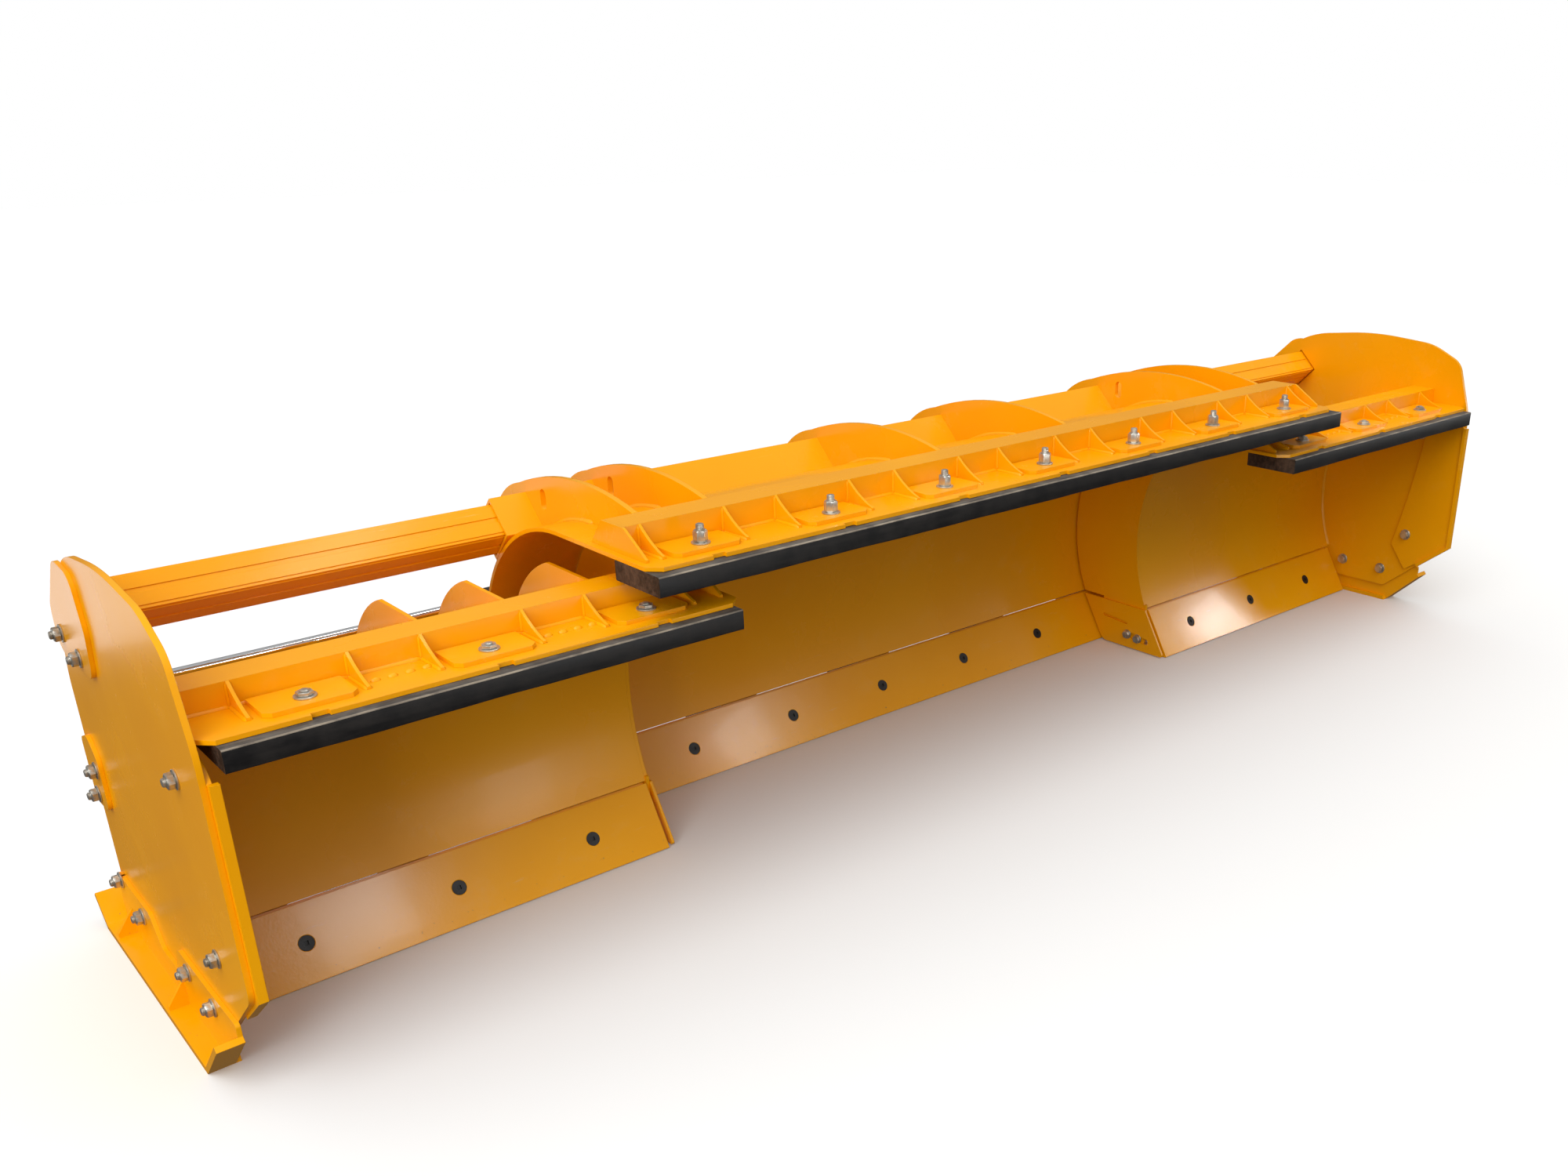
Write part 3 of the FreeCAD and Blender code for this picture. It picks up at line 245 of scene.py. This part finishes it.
near_ground = ramp(paint_film, height_above.outputs["Z"], 0.006, 0.05, 1.0, 0.0)
chip_share = maths(paint_film, "MULTIPLY", maths(paint_film, "MULTIPLY", chip_spots, near_ground),
                   given.outputs["Chips"])
dust_and_sheen_share = maths(paint_film, "MULTIPLY", dust_and_sheen_spots, given.outputs["Dust And Sheen"])
scuff_and_sheen_share = maths(paint_film, "MULTIPLY", scuff_and_sheen_lines, given.outputs["Scuffs And Sheen"])
coat = blend_colours(paint_film, clouds, given.outputs["Thin Colour"], given.outputs["Coat Colour"])
dusty_and_sheened = blend_colours(paint_film, maths(paint_film, "MAXIMUM", dust_and_sheen_share, scuff_and_sheen_share), coat,
                      given.outputs["Dust And Sheen Colour"])
chipped = blend_colours(paint_film, chip_share, dusty_and_sheened, (0.16, 0.10, 0.07, 1.0))
# From 150 to 151.5 mm up the coat is blended to dark brown: painted shade in the seam along the cutting edges' top.
seam_share = maths(paint_film, "MULTIPLY", ramp(paint_film, height_above.outputs["Z"], 0.1500, 0.1515),
                   given.outputs["Seam"])
paint_film.links.new(blend_colours(paint_film, seam_share, chipped, (0.075, 0.022, 0.008, 1.0)), made.inputs["Colour"])
dull = maths(paint_film, "ADD", maths(paint_film, "MULTIPLY", dust_and_sheen_share, 0.4),
             maths(paint_film, "MULTIPLY", scuff_and_sheen_share, 0.45))
wavy = maths(paint_film, "ADD", maths(paint_film, "MULTIPLY", clouds, 0.06), given.outputs["Gloss"])
paint_film.links.new(maths(paint_film, "ADD", maths(paint_film, "ADD", dull, wavy),
                           maths(paint_film, "MULTIPLY", seam_share, 0.6)), made.inputs["Roughness"])
peel = maths(paint_film, "MULTIPLY", noise(paint_film, where, 210.0, 2.0), 0.35)
waves = noise(paint_film, where, 14.0, 2.0)
pits = maths(paint_film, "MULTIPLY", chip_share, -0.5)
paint_film.links.new(maths(paint_film, "ADD", maths(paint_film, "ADD", peel, waves), pits), made.inputs["Height"])


def finished(material, group, values, bump, edge):
    """Puts a node group into a material: its colour and roughness go to the shader, and its
    height goes through a bump on edges that are softened by a small radius."""
    material.use_nodes = True
    tree = material.node_tree
    shader = tree.nodes["Principled BSDF"]
    film = tree.nodes.new("ShaderNodeGroup")
    film.node_tree = group
    for label, value in values.items():
        film.inputs[label].default_value = value
    tree.links.new(film.outputs["Colour"], shader.inputs["Base Color"])
    tree.links.new(film.outputs["Roughness"], shader.inputs["Roughness"])
    soft_edge = tree.nodes.new("ShaderNodeBevel")
    soft_edge.samples = 4
    soft_edge.inputs["Radius"].default_value = edge
    relief = tree.nodes.new("ShaderNodeBump")
    relief.inputs["Strength"].default_value = bump
    relief.inputs["Distance"].default_value = 0.0006
    tree.links.new(film.outputs["Height"], relief.inputs["Height"])
    tree.links.new(soft_edge.outputs["Normal"], relief.inputs["Normal"])
    tree.links.new(relief.outputs["Normal"], shader.inputs["Normal"])
    return shader


def painted(name, gloss, dust_and_sheen, scuffs_and_sheen, chips, bump, seam=0.0):
    """Orange yellow powder coat, with its own share of dust, scuffs and chips; their paler colour is partly painted
    sheen. seam paints a thin dark brown line at the cutting edges' top, as painted shade.
    """
    material = bpy.data.materials.new(name)
    shader = finished(material, paint_film,
                      {"Coat Colour": (0.97, 0.415, 0.0, 1.0), "Thin Colour": (0.94, 0.38, 0.0, 1.0),
                       "Dust And Sheen Colour": (0.93, 0.60, 0.24, 1.0), "Gloss": gloss, "Dust And Sheen": dust_and_sheen, "Scuffs And Sheen": scuffs_and_sheen,
                       "Chips": chips, "Seam": seam}, bump, 0.0015)
    shader.inputs["Specular IOR Level"].default_value = 0.26
    shader.inputs["Coat Weight"].default_value = 0.06
    shader.inputs["Coat Roughness"].default_value = 0.08
    return material


def dress(material, *names):
    """Gives CAD nodes one material."""
    for name in names:
        node = frame["nodes"][name]
        node.data.materials.clear()
        node.data.materials.append(material)


sides = ("left", "right")
body_paint = painted("body_powder_coat", 0.24, 0.07, 0.06, 0.0, 0.12)
dress(body_paint, "center_moldboard", "center_hood_channel", "center_hood_gussets", "center_doubler_plates",
      "center_rear_ribs", "center_hinge_knuckles", "quick_attach_plate", "quick_attach_ribs",
      "cylinder_saddles", "beam_sleeve")
for side in sides:
    dress(body_paint, *[side + "_" + name for name in
                        ("wing_moldboard", "wing_hood_channel", "wing_hood_gussets", "wing_back_ribs",
                         "wing_inner_plate", "wing_side_plate", "end_plate", "end_doublers", "wear_plate",
                         "wing_trip_hinge")])

# ---- Cutting edges and skid shoes ---------------------------------------------------------
# Hardened flat bar and bent plate that run on the ground. They were painted with the rest, so the coat is coarser
# there, and is chipped and rubbed along the bottom; the pale rubbed streaks are partly painted sheen. A thin dark brown
# line is painted along each edge's top as painted shade in the seam.
edge_paint = painted("worn_powder_coat", 0.19, 0.10, 0.22, 0.8, 0.5, 1.0)
dress(edge_paint, "center_cutting_edge", "left_cutting_edge", "right_cutting_edge", "left_skid_shoe",
      "right_skid_shoe")

# ---- Trip frames --------------------------------------------------------------------------
# Welded frames that carry the cutting edges. Only their lip shows from ahead, as the line under each moldboard, which
# is painted dark brown as painted shade in the seam.
seam_paint = painted("seam_shaded_powder_coat", 0.32, 0.12, 0.10, 0.0, 0.2, 1.0)
dress(seam_paint, "center_trip_frame", "left_trip_frame", "right_trip_frame")

# ---- Wing beams ---------------------------------------------------------------------------
# Square tube on its corner with raised wear strips, painted thickly enough to look pebbled and scraped along its length
# by the sleeve. The pale scrape streaks are partly painted sheen.
beam_paint = painted("pebbled_powder_coat", 0.20, 0.12, 0.35, 0.0, 0.9)
dress(beam_paint, "left_wing_beam", "right_wing_beam")

# ---- Weld beads ---------------------------------------------------------------------------
# Fillets laid where gussets, channels and ribs meet the sheet, painted over with everything
# else. Each has fine ripples across it and is a little fuller in places.


def tube_faces(sections, points):
    """Quads that join rings of points into a tube, and one face for each end."""
    i, j = np.meshgrid(np.arange(sections - 1), np.arange(points), indexing="ij")
    turn = (j + 1) % points
    quads = np.stack([i * points + j, i * points + turn, (i + 1) * points + turn, (i + 1) * points + j], axis=-1)
    last = (sections - 1) * points
    return quads.reshape(-1, 4).tolist() + [list(range(points))[::-1], list(range(last, last + points))]


def swept(path, first, second, profile):
    """A closed solid: at each point of path, path + first * profile a + second * profile b."""
    grid = path[:, None, :] + first[:, None, :] * profile[..., 0:1] + second[:, None, :] * profile[..., 1:2]
    return grid.reshape(-1, 3), tube_faces(grid.shape[0], grid.shape[1])


def bead(path, first, second, leg):
    """A fillet weld on a path: a quarter of an ellipse between the directions first and second,
    whose legs swell by a fine ripple along the path and taper away at both ends."""
    steps = np.linalg.norm(np.diff(path, axis=0), axis=1)
    run = np.concatenate([[0.0], np.cumsum(steps)])
    count = max(6, int(run[-1] / 0.0032))
    along = np.linspace(0.0, run[-1], count)
    line = np.stack([np.interp(along, run, path[:, k]) for k in range(3)], axis=1)
    sides_of = [np.stack([np.interp(along, run, way[:, k]) for k in range(3)], axis=1) for way in (first, second)]
    ripple = 1.0 + 0.10 * np.sin(along * 950.0) + 0.08 * np.sin(along * 61.0 + 1.3)
    taper = np.clip(np.minimum(along, run[-1] - along) / 0.004, 0.35, 1.0)
    size = leg * ripple * taper
    angle = np.linspace(0.0, math.pi / 2, 4)
    bow = 1.0 - 0.22 * np.sin(2 * angle)
    outline = np.stack([np.concatenate([[-0.2], np.cos(angle) * bow]), np.concatenate([[-0.2], np.sin(angle) * bow])],
                       axis=1)
    return swept(line, sides_of[0], sides_of[1], size[:, None, None] * outline[None])


def straight_bead(start, end, first, second, leg):
    """A fillet weld along a straight line."""
    return bead(np.array([start, end], float), np.tile(np.array(first, float), (2, 1)),
                np.tile(np.array(second, float), (2, 1)), leg)


def together(parts):
    """Several (points, faces) pairs as one."""
    points = np.concatenate([part[0] for part in parts])
    starts = np.cumsum([0] + [len(part[0]) for part in parts[:-1]])
    return points, [[start + k for k in face] for start, part in zip(starts, parts) for face in part[1]]


def solid(name, parts, materials, body, replaces=(), sharp=40.0, picks=None):
    """A piece of closed solids. picks gives each face the number of its material."""
    points, faces = together(parts)
    mesh = bpy.data.meshes.new(name)
    mesh.from_pydata(points.tolist(), [], faces)
    if picks is not None:
        mesh.polygons.foreach_set("material_index", picks)
    work = bmesh.new()
    work.from_mesh(mesh)
    bmesh.ops.recalc_face_normals(work, faces=work.faces)
    work.to_mesh(mesh)
    work.free()
    for material in materials:
        mesh.materials.append(material)
    mesh.shade_smooth()
    mesh.set_sharp_from_angle(angle=math.radians(sharp))
    piece = bpy.data.objects.new(name, mesh)
    bpy.context.scene.collection.objects.link(piece)
    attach(piece, body)
    if replaces:
        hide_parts(*replaces)
    return piece


def hood_beads(channel, bolts, half_pocket=0.092, gusset=0.006, run=0.076):
    """Beads round one channel: along its rear toe, along its front wall, and on both sides of
    each gusset, which stand half_pocket either side of each bolt."""
    (x0, y0, z0), (x1, y1, z1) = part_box(channel)
    made_beads = [straight_bead((x0, y1, z0), (x1, y1, z0), (0, 1, 0), (0, 0, 1), 0.006)]
    stands = sorted([bolt + sign * half_pocket for bolt in bolts for sign in (-1, 1)])
    ends = [x0] + stands + [x1]
    for a, b in zip(ends[:-1], ends[1:]):
        if b - a > 0.03:
            made_beads.append(straight_bead((a + gusset / 2, y0, z0), (b - gusset / 2, y0, z0), (0, -1, 0), (0, 0, 1),
                                            0.0045))
    for x in stands:
        for sign in (-1, 1):
            face = x + sign * gusset / 2
            made_beads.append(straight_bead((face, y0 - run, z0), (face, y0, z0), (sign, 0, 0), (0, 0, 1), 0.0045))
            made_beads.append(straight_bead((face, y0, z0), (face, y0, z1 - 0.003), (sign, 0, 0), (0, -1, 0), 0.0035))
    return made_beads


def arc_path(centre_y, centre_z, radius, low, high, x):
    """Points and outward directions on an arc about the X axis, low to high in degrees."""
    angle = np.radians(np.linspace(low, high, 40))
    out = np.stack([0 * angle, np.cos(angle), np.sin(angle)], axis=1)
    return np.array([x, centre_y, centre_z]) + radius * out, out


def curve_bead(arcs, x, sign, leg, facing):
    """A bead on a moldboard's arcs beside a plate at x. facing is 1 on its back and -1 inside."""
    paths, outs = zip(*[arc_path(*one, x) for one in arcs])
    out = np.concatenate(outs) * facing
    beside = np.tile(np.array([sign, 0.0, 0.0]), (len(out), 1))
    return bead(np.concatenate(paths), beside, out, leg)


pocket_pitch = 0.3067
plate_face = 1.842           # outer face of an end plate, from the middle of the pusher
plate_inner = 1.832
first_pocket = 0.1885        # from there to the outermost pocket bolt
center_bolts = [pocket_pitch * k for k in range(-3, 4)]
center_beads = hood_beads("center_hood_channel", center_bolts)
center_back = [(-0.189718, 0.34115, 0.488, -11.0, 25.0), (-0.089027, 0.38810, 0.3769, 25.0, 90.0)]
for place in (0.205, 0.820, 0.977):
    for x in (-place, place):
        for sign in (-1, 1):
            center_beads.append(curve_bead(center_back, x + sign * 0.006, sign, 0.006, 1))
solid("center_weld_beads", center_beads, [body_paint], "center", sharp=60.0)

wing_inside = [(-0.433714, 0.34115, 0.480, -25.0, 25.0), (-0.172919, 0.46276, 0.19224, 25.0, 90.0)]
for side, sign in (("left", -1), ("right", 1)):
    bolts = [sign * (plate_face - first_pocket - pocket_pitch * k) for k in range(3)]
    beads = hood_beads(side + "_wing_hood_channel", bolts)
    beads.append(curve_bead(wing_inside, sign * plate_inner, -sign, 0.006, -1))
    (_, y0, z0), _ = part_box(side + "_wing_hood_channel")
    for middle in (bolts[0] - sign * pocket_pitch / 2, bolts[1] - sign * pocket_pitch / 2):
        for dash in (-0.048, -0.019, 0.010, 0.039):
            x = middle + dash
            beads.append(straight_bead((x, y0 - 0.046, z0), (x + 0.017, y0 - 0.046, z0), (0, 1, 0), (0, 0, 1), 0.005))
            beads.append(straight_bead((x, y0 - 0.046, z0), (x + 0.017, y0 - 0.046, z0), (0, -1, 0), (0, 0, 1), 0.005))
    solid(side + "_weld_beads", beads, [body_paint], side + "_wing", sharp=60.0)

# ---- Rubber bars --------------------------------------------------------------------------
# Moulded rubber, cut square from a long bar, so the ends are rough and brown. The front is nearly black, the top is a
# lighter grey, and the corner between them is painted pale as a painted highlight.
rubber_skin, given, made = new_group(
    "rubber_skin", {"Colour": (0.02, 0.02, 0.02, 1.0), "Bloom And Highlight": (0.09, 0.085, 0.08, 1.0), "Cover": 0.4, "Gloss": 0.5,
                    "Grain": 1.0},
    {"Colour": "NodeSocketColor", "Roughness": "NodeSocketFloat", "Height": "NodeSocketFloat"})
where = rubber_skin.nodes.new("ShaderNodeTexCoord").outputs["Object"]
drag = noise(rubber_skin, stretch(rubber_skin, where, (5.0, 50.0, 50.0)), 1.5, 6.0, 0.7)
blotch = ramp(rubber_skin, maths(rubber_skin, "ADD", drag, noise(rubber_skin, where, 22.0, 5.0, 0.6)), 0.85, 1.2)
cover = maths(rubber_skin, "MULTIPLY", blotch, given.outputs["Cover"])
rubber_skin.links.new(blend_colours(rubber_skin, cover, given.outputs["Colour"], given.outputs["Bloom And Highlight"]),
                      made.inputs["Colour"])
rubber_skin.links.new(maths(rubber_skin, "ADD", maths(rubber_skin, "MULTIPLY", cover, 0.25), given.outputs["Gloss"]),
                      made.inputs["Roughness"])
grain = noise(rubber_skin, where, 180.0, 5.0, 0.7)
rubber_skin.links.new(maths(rubber_skin, "MULTIPLY", grain, given.outputs["Grain"]), made.inputs["Height"])


def rubber_finish(name, colour, bloom_and_highlight, cover_share, gloss, grain, bump):
    """A rubber surface: the second colour clouds the first by cover_share. On the corner both colours are pale, as a
    painted highlight.
    """
    material = bpy.data.materials.new(name)
    shader = finished(material, rubber_skin, {"Colour": colour, "Bloom And Highlight": bloom_and_highlight, "Cover": cover_share, "Gloss": gloss,
                                              "Grain": grain}, bump, 0.001)
    shader.inputs["Specular IOR Level"].default_value = 0.3
    return material


rubber_finishes = [
    rubber_finish("rubber_face", (0.008, 0.007, 0.007, 1.0), (0.032, 0.026, 0.022, 1.0), 0.5, 0.42, 0.6, 0.3),
    rubber_finish("rubber_top", (0.060, 0.054, 0.048, 1.0), (0.17, 0.15, 0.125, 1.0), 0.8, 0.55, 0.8, 0.4),
    # The corner's two pale colours are a painted highlight on the rounded edge.
    rubber_finish("rubber_corner_painted_highlight", (0.16, 0.13, 0.10, 1.0), (0.42, 0.35, 0.26, 1.0), 0.9, 0.55, 0.8, 0.4),
    rubber_finish("rubber_cut_end", (0.030, 0.017, 0.010, 1.0), (0.13, 0.075, 0.045, 1.0), 0.9, 0.75, 2.0, 1.0),
]


def rubber_bar(node):
    """A bar with small round corners carried along X. Its faces sink and swell by a fraction of a millimetre: a
    constant plus two sines along the bar, always inwards."""
    (x0, y0, z0), (x1, y1, z1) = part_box(node)
    radius = 0.0025
    turn = np.radians(np.array([0.0, 30.0, 60.0, 90.0]))
    corners = [(y1, z1, 0), (y0, z1, 90), (y0, z0, 180), (y1, z0, 270)]
    ring = np.concatenate([np.stack([
        y - np.sign(y - (y0 + y1) / 2) * radius + radius * np.cos(turn + math.radians(start)),
        z - np.sign(z - (z0 + z1) / 2) * radius + radius * np.sin(turn + math.radians(start))], axis=1)
        for y, z, start in corners])
    x = np.linspace(x0, x1, int((x1 - x0) / 0.012))
    sink = 0.00035 * (1.5 + np.sin(x * 17.0) + 0.5 * np.sin(x * 41.0 + 1.0))
    middle = np.array([(y0 + y1) / 2, (z0 + z1) / 2])
    half = np.array([(y1 - y0) / 2, (z1 - z0) / 2])
    yz = middle + (ring - middle)[None] * (1.0 - sink[:, None, None] / half[None, None])
    grid = np.concatenate([np.broadcast_to(x[:, None, None], yz.shape[:2] + (1,)), yz], axis=2)
    faces = tube_faces(len(x), len(ring))
    around = np.zeros(len(ring), int)
    around[3] = 1
    # Faces round the top front corner take the pale material: a painted highlight.
    around[4:7] = 2
    picks = np.concatenate([np.tile(around, len(x) - 1), [3, 3]])
    return (grid.reshape(-1, 3), faces), picks


for node, body in (("center_rubber_bar", "center"), ("left_wing_rubber_bar", "left_wing"),
                   ("right_wing_rubber_bar", "right_wing")):
    bar, picks = rubber_bar(node)
    solid(node + "_moulded", [bar], rubber_finishes, body, (node,), 25.0, picks)

# ---- Bolts, washers and nuts --------------------------------------------------------------
# Zinc plated hex hardware. The rubber is held by studs that stand out of their nuts, and the
# end plates by bolts whose threaded ends and nuts are on the outside.
metal_skin, given, made = new_group(
    "metal_skin", {"Colour": (0.6, 0.6, 0.6, 1.0), "Dark": (0.3, 0.3, 0.3, 1.0), "Gloss": 0.3, "Grain": 0.3},
    {"Colour": "NodeSocketColor", "Roughness": "NodeSocketFloat", "Height": "NodeSocketFloat"})
where = metal_skin.nodes.new("ShaderNodeTexCoord").outputs["Object"]
stain = ramp(metal_skin, noise(metal_skin, where, 38.0, 6.0, 0.65), 0.42, 0.72)
stained = maths(metal_skin, "MULTIPLY", stain, given.outputs["Grain"])
metal_skin.links.new(blend_colours(metal_skin, stained, given.outputs["Colour"], given.outputs["Dark"]),
                     made.inputs["Colour"])
metal_skin.links.new(maths(metal_skin, "ADD", maths(metal_skin, "MULTIPLY", stained, 0.35), given.outputs["Gloss"]),
                     made.inputs["Roughness"])
metal_skin.links.new(noise(metal_skin, where, 420.0, 3.0), made.inputs["Height"])


def metal(name, colour, dark, metallic, rough, grain):
    """A metal or thin black finish with stains that darken and dull it."""
    material = bpy.data.materials.new(name)
    shader = finished(material, metal_skin, {"Colour": colour, "Dark": dark, "Gloss": rough, "Grain": grain}, 0.2,
                      0.0006)
    shader.inputs["Metallic"].default_value = metallic
    return material


zinc = metal("zinc_plate", (0.66, 0.64, 0.58, 1.0), (0.26, 0.21, 0.15, 1.0), 0.85, 0.3, 0.8)


def turned(radii, heights, count, across=None, pitch=0.0, depth=0.0):
    """Rings about Z joined into a solid: radius r at height h, cut down to a hexagon if across
    is given. A thread takes away depth * |2 frac(h / pitch + angle / turn) - 1|."""
    angle = np.arange(count) * 2 * math.pi / count
    radius = np.repeat(np.array(radii, float)[:, None], count, axis=1)
    height = np.repeat(np.array(heights, float)[:, None], count, axis=1)
    if across:
        radius = np.minimum(radius, across / 2 / np.cos((angle + math.pi / 6) % (math.pi / 3) - math.pi / 6))
    if pitch:
        radius = radius - depth * np.abs(2 * ((height / pitch + angle / (2 * math.pi)) % 1.0) - 1)
    grid = np.stack([radius * np.cos(angle), radius * np.sin(angle), height], axis=2)
    return grid.reshape(-1, 3), tube_faces(len(radii), count)


def hex_part(across, height):
    """A hexagonal nut or head with both rims chamfered."""
    full = across / math.sqrt(3)
    rim = across * 0.475
    return turned([rim, full, full, rim], [0.0, height * 0.10, height * 0.88, height], 36, across)


def flat_washer(dia, height):
    rim = dia / 2 - 0.0006
    return turned([rim, dia / 2, dia / 2, rim], [0.0, 0.0005, height - 0.0005, height], 40)


def thread(dia, height):
    """A threaded end with a 2 mm pitch and a chamfered tip."""
    steps = np.arange(0.0, height, 0.0004)
    tip = np.minimum(dia / 2, dia / 2 - 0.0018 + (height - steps))
    return turned(np.append(tip, dia / 2 - 0.0026), np.append(steps, height), 20, None, 0.002, 0.0011)


def set_at(part, place, axis, twist):
    """The part turned by twist about its own Z, then stood at place along axis."""
    points, faces = part
    c, s = math.cos(twist), math.sin(twist)
    spun = points @ np.array([[c, s, 0], [-s, c, 0], [0, 0, 1]])
    other = np.array([0.0, 1.0, 0.0])
    frame_rows = np.array([np.cross(other, axis), other, axis])
    return spun @ frame_rows + np.array(place), faces


def rubber_hardware(name, node, body, bolts, y, seat, under, nut, stud):
    """Washer, nut and stud over each bolt hole, and the bolt's low round head under the rubber."""
    parts = []
    up, down_axis = np.array([0.0, 0.0, 1.0]), np.array([0.0, 0.0, -1.0])
    for turn, x in enumerate(bolts):
        parts.append(set_at(flat_washer(0.036, 0.003), (x, y, seat), up, 0.0))
        parts.append(set_at(hex_part(0.024, nut), (x, y, seat + 0.003), up, 0.7 * turn))
        parts.append(set_at(thread(0.016, stud), (x, y, seat + 0.001), up, 0.4 * turn))
        head = turned([0.0150, 0.0150, 0.0138, 0.0105, 0.0055], [0.0, 0.0022, 0.0050, 0.0072, 0.0080], 32)
        parts.append(set_at(head, (x, y, under), down_axis, 0.0))
    return solid(name, parts, [zinc], body, (node,), 35.0)


for side, body, bolts, nut, stud in (
        ("center", "center", center_bolts, 0.022, 0.036),
        ("left_wing", "left_wing", [-(plate_face - first_pocket - pocket_pitch * k) for k in range(3)], 0.0065, 0.0115),
        ("right_wing", "right_wing", [plate_face - first_pocket - pocket_pitch * k for k in range(3)], 0.0065, 0.0115)):
    (_, y0, _), (_, _, z1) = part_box(side + "_moldboard")
    rubber_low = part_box(side + "_rubber_bar")[0][2]
    rubber_hardware(side + "_rubber_studs", side + "_rubber_bolts", body, bolts, y0 + 0.062, z1 + 0.008, rubber_low,
                    nut, stud)

shift = 0.0809737            # from the middle of the depth back to the moldboards' datum
plate_bolts = [(0.377, 0.650, 0.008, 0.0), (0.270, 0.632, 0.008, 0.0), (0.393, 0.372, 0.008, 0.0),
               (0.425, 0.312, 0.008, 0.0), (-0.205, 0.564, 0.0, 0.008), (-0.196, 0.236, 0.0, 0.008),
               (0.022, 0.106, 0.008, 0.0), (-0.118, 0.104, 0.008, 0.0), (0.308, 0.092, 0.008, 0.0),
               (0.436, 0.118, 0.008, 0.0)]
for side, sign in (("left", -1), ("right", 1)):
    outward = np.array([float(sign), 0.0, 0.0])
    parts = []
    for turn, (y, z, outer, inner) in enumerate(plate_bolts):
        x_out = sign * (plate_face + outer)
        x_in = sign * (plate_inner - inner)
        parts.append(set_at(flat_washer(0.034, 0.003), (x_out, y - shift, z), outward, 0.0))
        parts.append(set_at(hex_part(0.024, 0.012), (x_out + sign * 0.003, y - shift, z), outward, 0.5 * turn))
        parts.append(set_at(thread(0.016, 0.021), (x_out, y - shift, z), outward, 0.3 * turn))
        parts.append(set_at(flat_washer(0.034, 0.003), (x_in, y - shift, z), -outward, 0.0))
        parts.append(set_at(hex_part(0.024, 0.010), (x_in - sign * 0.003, y - shift, z), -outward, 0.8 * turn))
    wiper = sign * (plate_face - 0.982 - 0.006)     # face of the tab at the wing's inner side
    for turn, (y, z) in enumerate(((0.139, 0.045), (0.099, 0.040))):
        parts.append(set_at(flat_washer(0.028, 0.0025), (wiper, y - shift, z), -outward, 0.0))
        parts.append(set_at(hex_part(0.022, 0.008), (wiper - sign * 0.0025, y - shift, z), -outward, 0.9 * turn))
    solid(side + "_plate_hardware", parts, [zinc], side + "_wing", (side + "_plate_bolts",), 35.0)

# ---- Edge bolts ---------------------------------------------------------------------------
# Countersunk bolts with square sockets, in black oxide, flush with the cutting edges' faces.
black_steel = metal("black_oxide", (0.006, 0.005, 0.005, 1.0), (0.03, 0.018, 0.01, 1.0), 0.0, 0.5, 0.5)
dress(black_steel, "center_edge_bolts", "left_edge_bolts", "right_edge_bolts")

# ---- Extension cylinders ------------------------------------------------------------------
# Hard chromed rods screwed into the end plates, and drawn tube barrels in satin black paint.
chrome = metal("hard_chrome", (0.93, 0.94, 0.95, 1.0), (0.55, 0.56, 0.58, 1.0), 1.0, 0.07, 0.15)
barrel_paint = metal("satin_black_paint", (0.02, 0.02, 0.021, 1.0), (0.05, 0.045, 0.04, 1.0), 0.0, 0.35, 0.3)
dress(chrome, "left_cylinder_rod", "right_cylinder_rod")
dress(barrel_paint, "left_cylinder_barrel", "right_cylinder_barrel")

# ---- Trip springs and hinge pin -----------------------------------------------------------
# Torsion springs of round oiled wire, wound close on the hinge pins behind the moldboards.
spring_steel = metal("oiled_spring_steel", (0.22, 0.22, 0.23, 1.0), (0.09, 0.07, 0.05, 1.0), 0.9, 0.32, 0.5)
pin_steel = metal("bright_pin_steel", (0.50, 0.50, 0.49, 1.0), (0.24, 0.20, 0.16, 1.0), 0.9, 0.3, 0.5)
dress(pin_steel, "center_hinge_pin")


def coil(start, y, z, length, dia, wire, pitch):
    """A wire of round section on a helix about X: the point at angle t is start + pitch t / turn along X and dia / 2
    out."""
    turns = int((length - 2 * wire) / pitch)
    t = np.linspace(0.0, turns * 2 * math.pi, turns * 18)
    r = (dia - wire) / 2
    x = start + wire / 2 + (length - wire) * t / t[-1]
    out = np.stack([0 * t, np.cos(t), np.sin(t)], axis=1)
    path = np.stack([x, y + r * out[:, 1], z + r * out[:, 2]], axis=1)
    along = np.tile(np.array([1.0, 0.0, 0.0]), (len(t), 1))
    angle = np.arange(8) * math.pi / 4
    ring = np.stack([np.cos(angle), np.sin(angle)], axis=1) * wire / 2
    return swept(path, out, along, np.broadcast_to(ring, (len(t), 8, 2)))


hinge_height = 0.1382894
center_hinge_y, wing_hinge_y = 0.2793121, 0.0353121
spring_length, spring_dia, spring_wire, spring_pitch = 0.110, 0.034, 0.0048, 0.0058
center_springs = [coil(x - 0.139, center_hinge_y, hinge_height, spring_length, spring_dia, spring_wire, spring_pitch)
                  for x in (-0.450, 0.0, 0.450, 0.900)]
solid("center_coil_springs", center_springs, [spring_steel], body_of(frame["nodes"]["center_trip_springs"])[0],
      ("center_trip_springs",), 80.0)
for side, sign in (("left", -1), ("right", 1)):
    node = side + "_wing_trip_springs"
    (x0, _, _), (x1, _, _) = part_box(node)
    springs = [coil(x, wing_hinge_y, hinge_height, spring_length, spring_dia, spring_wire, spring_pitch)
               for x in (x0, x1 - spring_length)]
    solid(side + "_coil_springs", springs, [spring_steel], body_of(frame["nodes"][node])[0], (node,),
          80.0)
